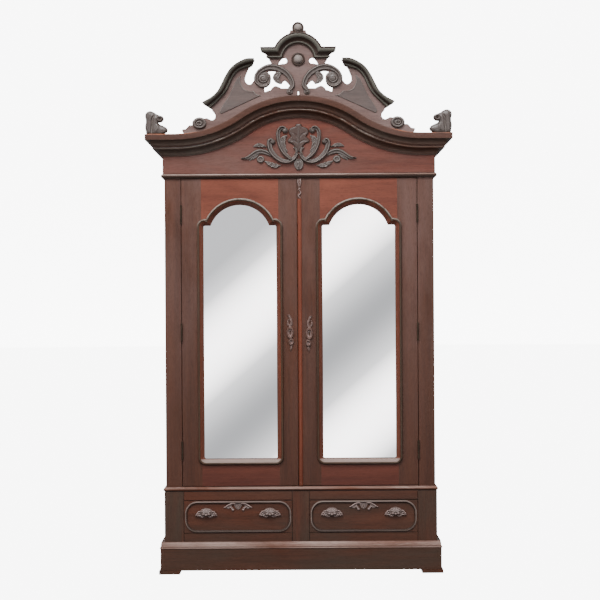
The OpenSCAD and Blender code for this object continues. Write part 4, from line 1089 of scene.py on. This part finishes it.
def studio_sheet(name, points, faces):
    """A sheet of the studio, which isn't part of the object."""
    mesh = bpy.data.meshes.new(name)
    mesh.from_pydata(points, [], faces)
    mesh.polygons.foreach_set("use_smooth", [True] * len(mesh.polygons))
    made = add_object(name, mesh)
    return made


def hide_from(sheet, *rays):
    """These kinds of rays pass through the sheet."""
    for ray in rays:
        setattr(sheet, f"visible_{ray}", False)


def grey(value):
    """A grey of this brightness."""
    return (value, value, value)


def studio_floor():
    """Pale round floor that curves up into a wall, glowing evenly, which lights neither object nor gloss."""
    reach, rise, bend, turns, under = 40.0, 16.0, 6.0, 64, 0.0005
    profile = [(reach + x, bend + z) for x, z in arc((0, 0), bend, -90, 0, 11)]
    profile.append((reach + bend, rise))
    rim = [(r * x, r * y, z - under) for r, z in profile for x, y in arc((0, 0), 1, 0, 360, turns)[:-1]]
    walls = [(i + j, i + (j + 1) % turns, i + turns + (j + 1) % turns, i + turns + j)
             for i in range(0, turns * (len(profile) - 1), turns) for j in range(turns)]
    floor = studio_sheet("studio_floor", rim, [tuple(range(turns))] + walls)
    pale, tree, shader = new_material("studio_pale")
    give(tree, shader, {"Base Color": (0.95, 0.95, 0.945), "Roughness": 0.9, "Emission Color": grey(1),
                        "Emission Strength": 8.0})
    floor.data.materials.append(pale)
    hide_from(floor, "diffuse", "glossy")


def studio():
    """Dim air, the floor, soft light from above and both sides, and what the mirrors show."""
    world = bpy.data.worlds.new("studio_air")
    bpy.context.scene.world = world
    world.use_nodes = True
    tree = world.node_tree
    up = coordinate(tree, node(tree, "ShaderNodeTexCoord").outputs["Generated"], "Z")
    air = tree.nodes["Background"]
    plug(tree, air.inputs["Color"], ramp(tree, up, [(0.0, grey(0.1)), (0.25, grey(0.2)), (0.8, grey(1))]))
    air.inputs["Strength"].default_value = 1.8
    studio_floor()
    area_light("key_above", (-1.0, -4.2, 6.2), (0, 0, 1.8), (3.6, 2.2), 400)
    area_light("fill_left", (-4.5, -3.5, 2.6), (0, 0, 1.3), (2.5, 2.5), 75)
    area_light("fill_right", (4.5, -3.8, 2.4), (0, 0, 1.2), (2.5, 2.5), 50)
    mirror_card()
    reflected_room()


def glowing(name):
    """A material that only glows: its tree and the node that glows."""
    made = bpy.data.materials.new(name)
    made.use_nodes = True
    tree = made.node_tree
    tree.nodes.clear()
    glow = node(tree, "ShaderNodeEmission", {"Strength": 1.0})
    plug(tree, node(tree, "ShaderNodeOutputMaterial").inputs["Surface"], glow.outputs[0])
    return made, tree, glow


def reflected_room():
    """Floor and side walls that only reflections see, so that the mirrors show a pale room from any side."""
    wide, near, far, high, under = 9.0, -12.0, 3.0, 4.0, 0.002
    outline = [(-wide, high), (-wide, 0.0), (wide, 0.0), (wide, high)]
    room = studio_sheet("reflected_room", [(x, y, z - under) for x, z in outline for y in (near, far)],
                        [(2 * i, 2 * i + 1, 2 * i + 3, 2 * i + 2) for i in range(3)])
    shine, tree, glow = glowing("room_glow")
    up = times(tree, coordinate(tree, object_place(tree), "Z"), 1 / high)
    plug(tree, glow.inputs["Color"], ramp(tree, up, [(0.0, grey(0.45)), (0.1, (0.75, 0.75, 0.76)),
                                                     (1.0, grey(1.2))]))
    room.data.materials.append(shine)
    hide_from(room, "camera", "diffuse", "shadow")


def mirror_card():
    """Card that only reflections see: soft diagonal bands of grey, as old mirrors show of a cloudy sky."""
    gap = 3.0
    spread = (CAMERA_DISTANCE + gap) / CAMERA_DISTANCE
    y = FRONT - gap
    half, low, high = 1.7, -0.4, 3.2
    corners = [(-half, y, low), (half, y, low), (half, y, high), (-half, y, high)]
    card = studio_sheet("mirror_card", corners, [(0, 1, 2, 3)])
    shine, tree, glow = glowing("graded_card")
    where = object_place(tree)
    # The bands rise to the right by this slope and repeat at each period, up to the last bright one
    slope, period, darkest = 0.875, 1.03 * spread, EYE + (0.96 - EYE) * spread
    sloped = times(tree, coordinate(tree, where, "X"), slope)
    along = maths(tree, "SUBTRACT", coordinate(tree, where, "Z"), sloped)
    along = maths(tree, "MINIMUM", along, darkest + 0.88 * period)
    turn = times(tree, maths(tree, "SUBTRACT", along, darkest), 2 * math.pi / period)
    wave = times(tree, maths(tree, "SUBTRACT", 1.0, maths(tree, "COSINE", turn)), 0.5)
    plug(tree, glow.inputs["Color"], ramp(tree, wave, [(0.0, (0.66, 0.67, 0.69)), (0.5, (1.6, 1.6, 1.62)),
                                                       (1.0, (5.6, 5.4, 5.4))]))
    card.data.materials.append(shine)
    hide_from(card, "camera", "diffuse", "shadow")


def camera():
    """Square on, level with the middle of the object, and rolled by a third of a degree."""
    shown_width, aside, roll = 2.948, 0.002, 0.35
    lens = bpy.data.cameras.new("camera")
    lens.sensor_width = 36.0
    lens.lens = lens.sensor_width * CAMERA_DISTANCE / shown_width
    made = add_object("camera", lens)
    made.location = (aside, FRONT - CAMERA_DISTANCE, EYE)
    made.rotation_euler = (math.radians(90), math.radians(roll), 0)
    bpy.context.scene.camera = made


finish_boards()
plinth_moulding()
waist_moulding()
back_boards()
frieze_bead()
cornice_moulding()
swan_mouldings()
hood_moulding()
crest_turnings()
frieze_carving()
crest_scrolls()
wing_panels()
corner_finials()
astragal()
for word, _ in SIDES:
    mirror_moulding(word)
    escutcheon(word)
    drawer_trim(word)
    drawer_pulls(word)
studio()
camera()
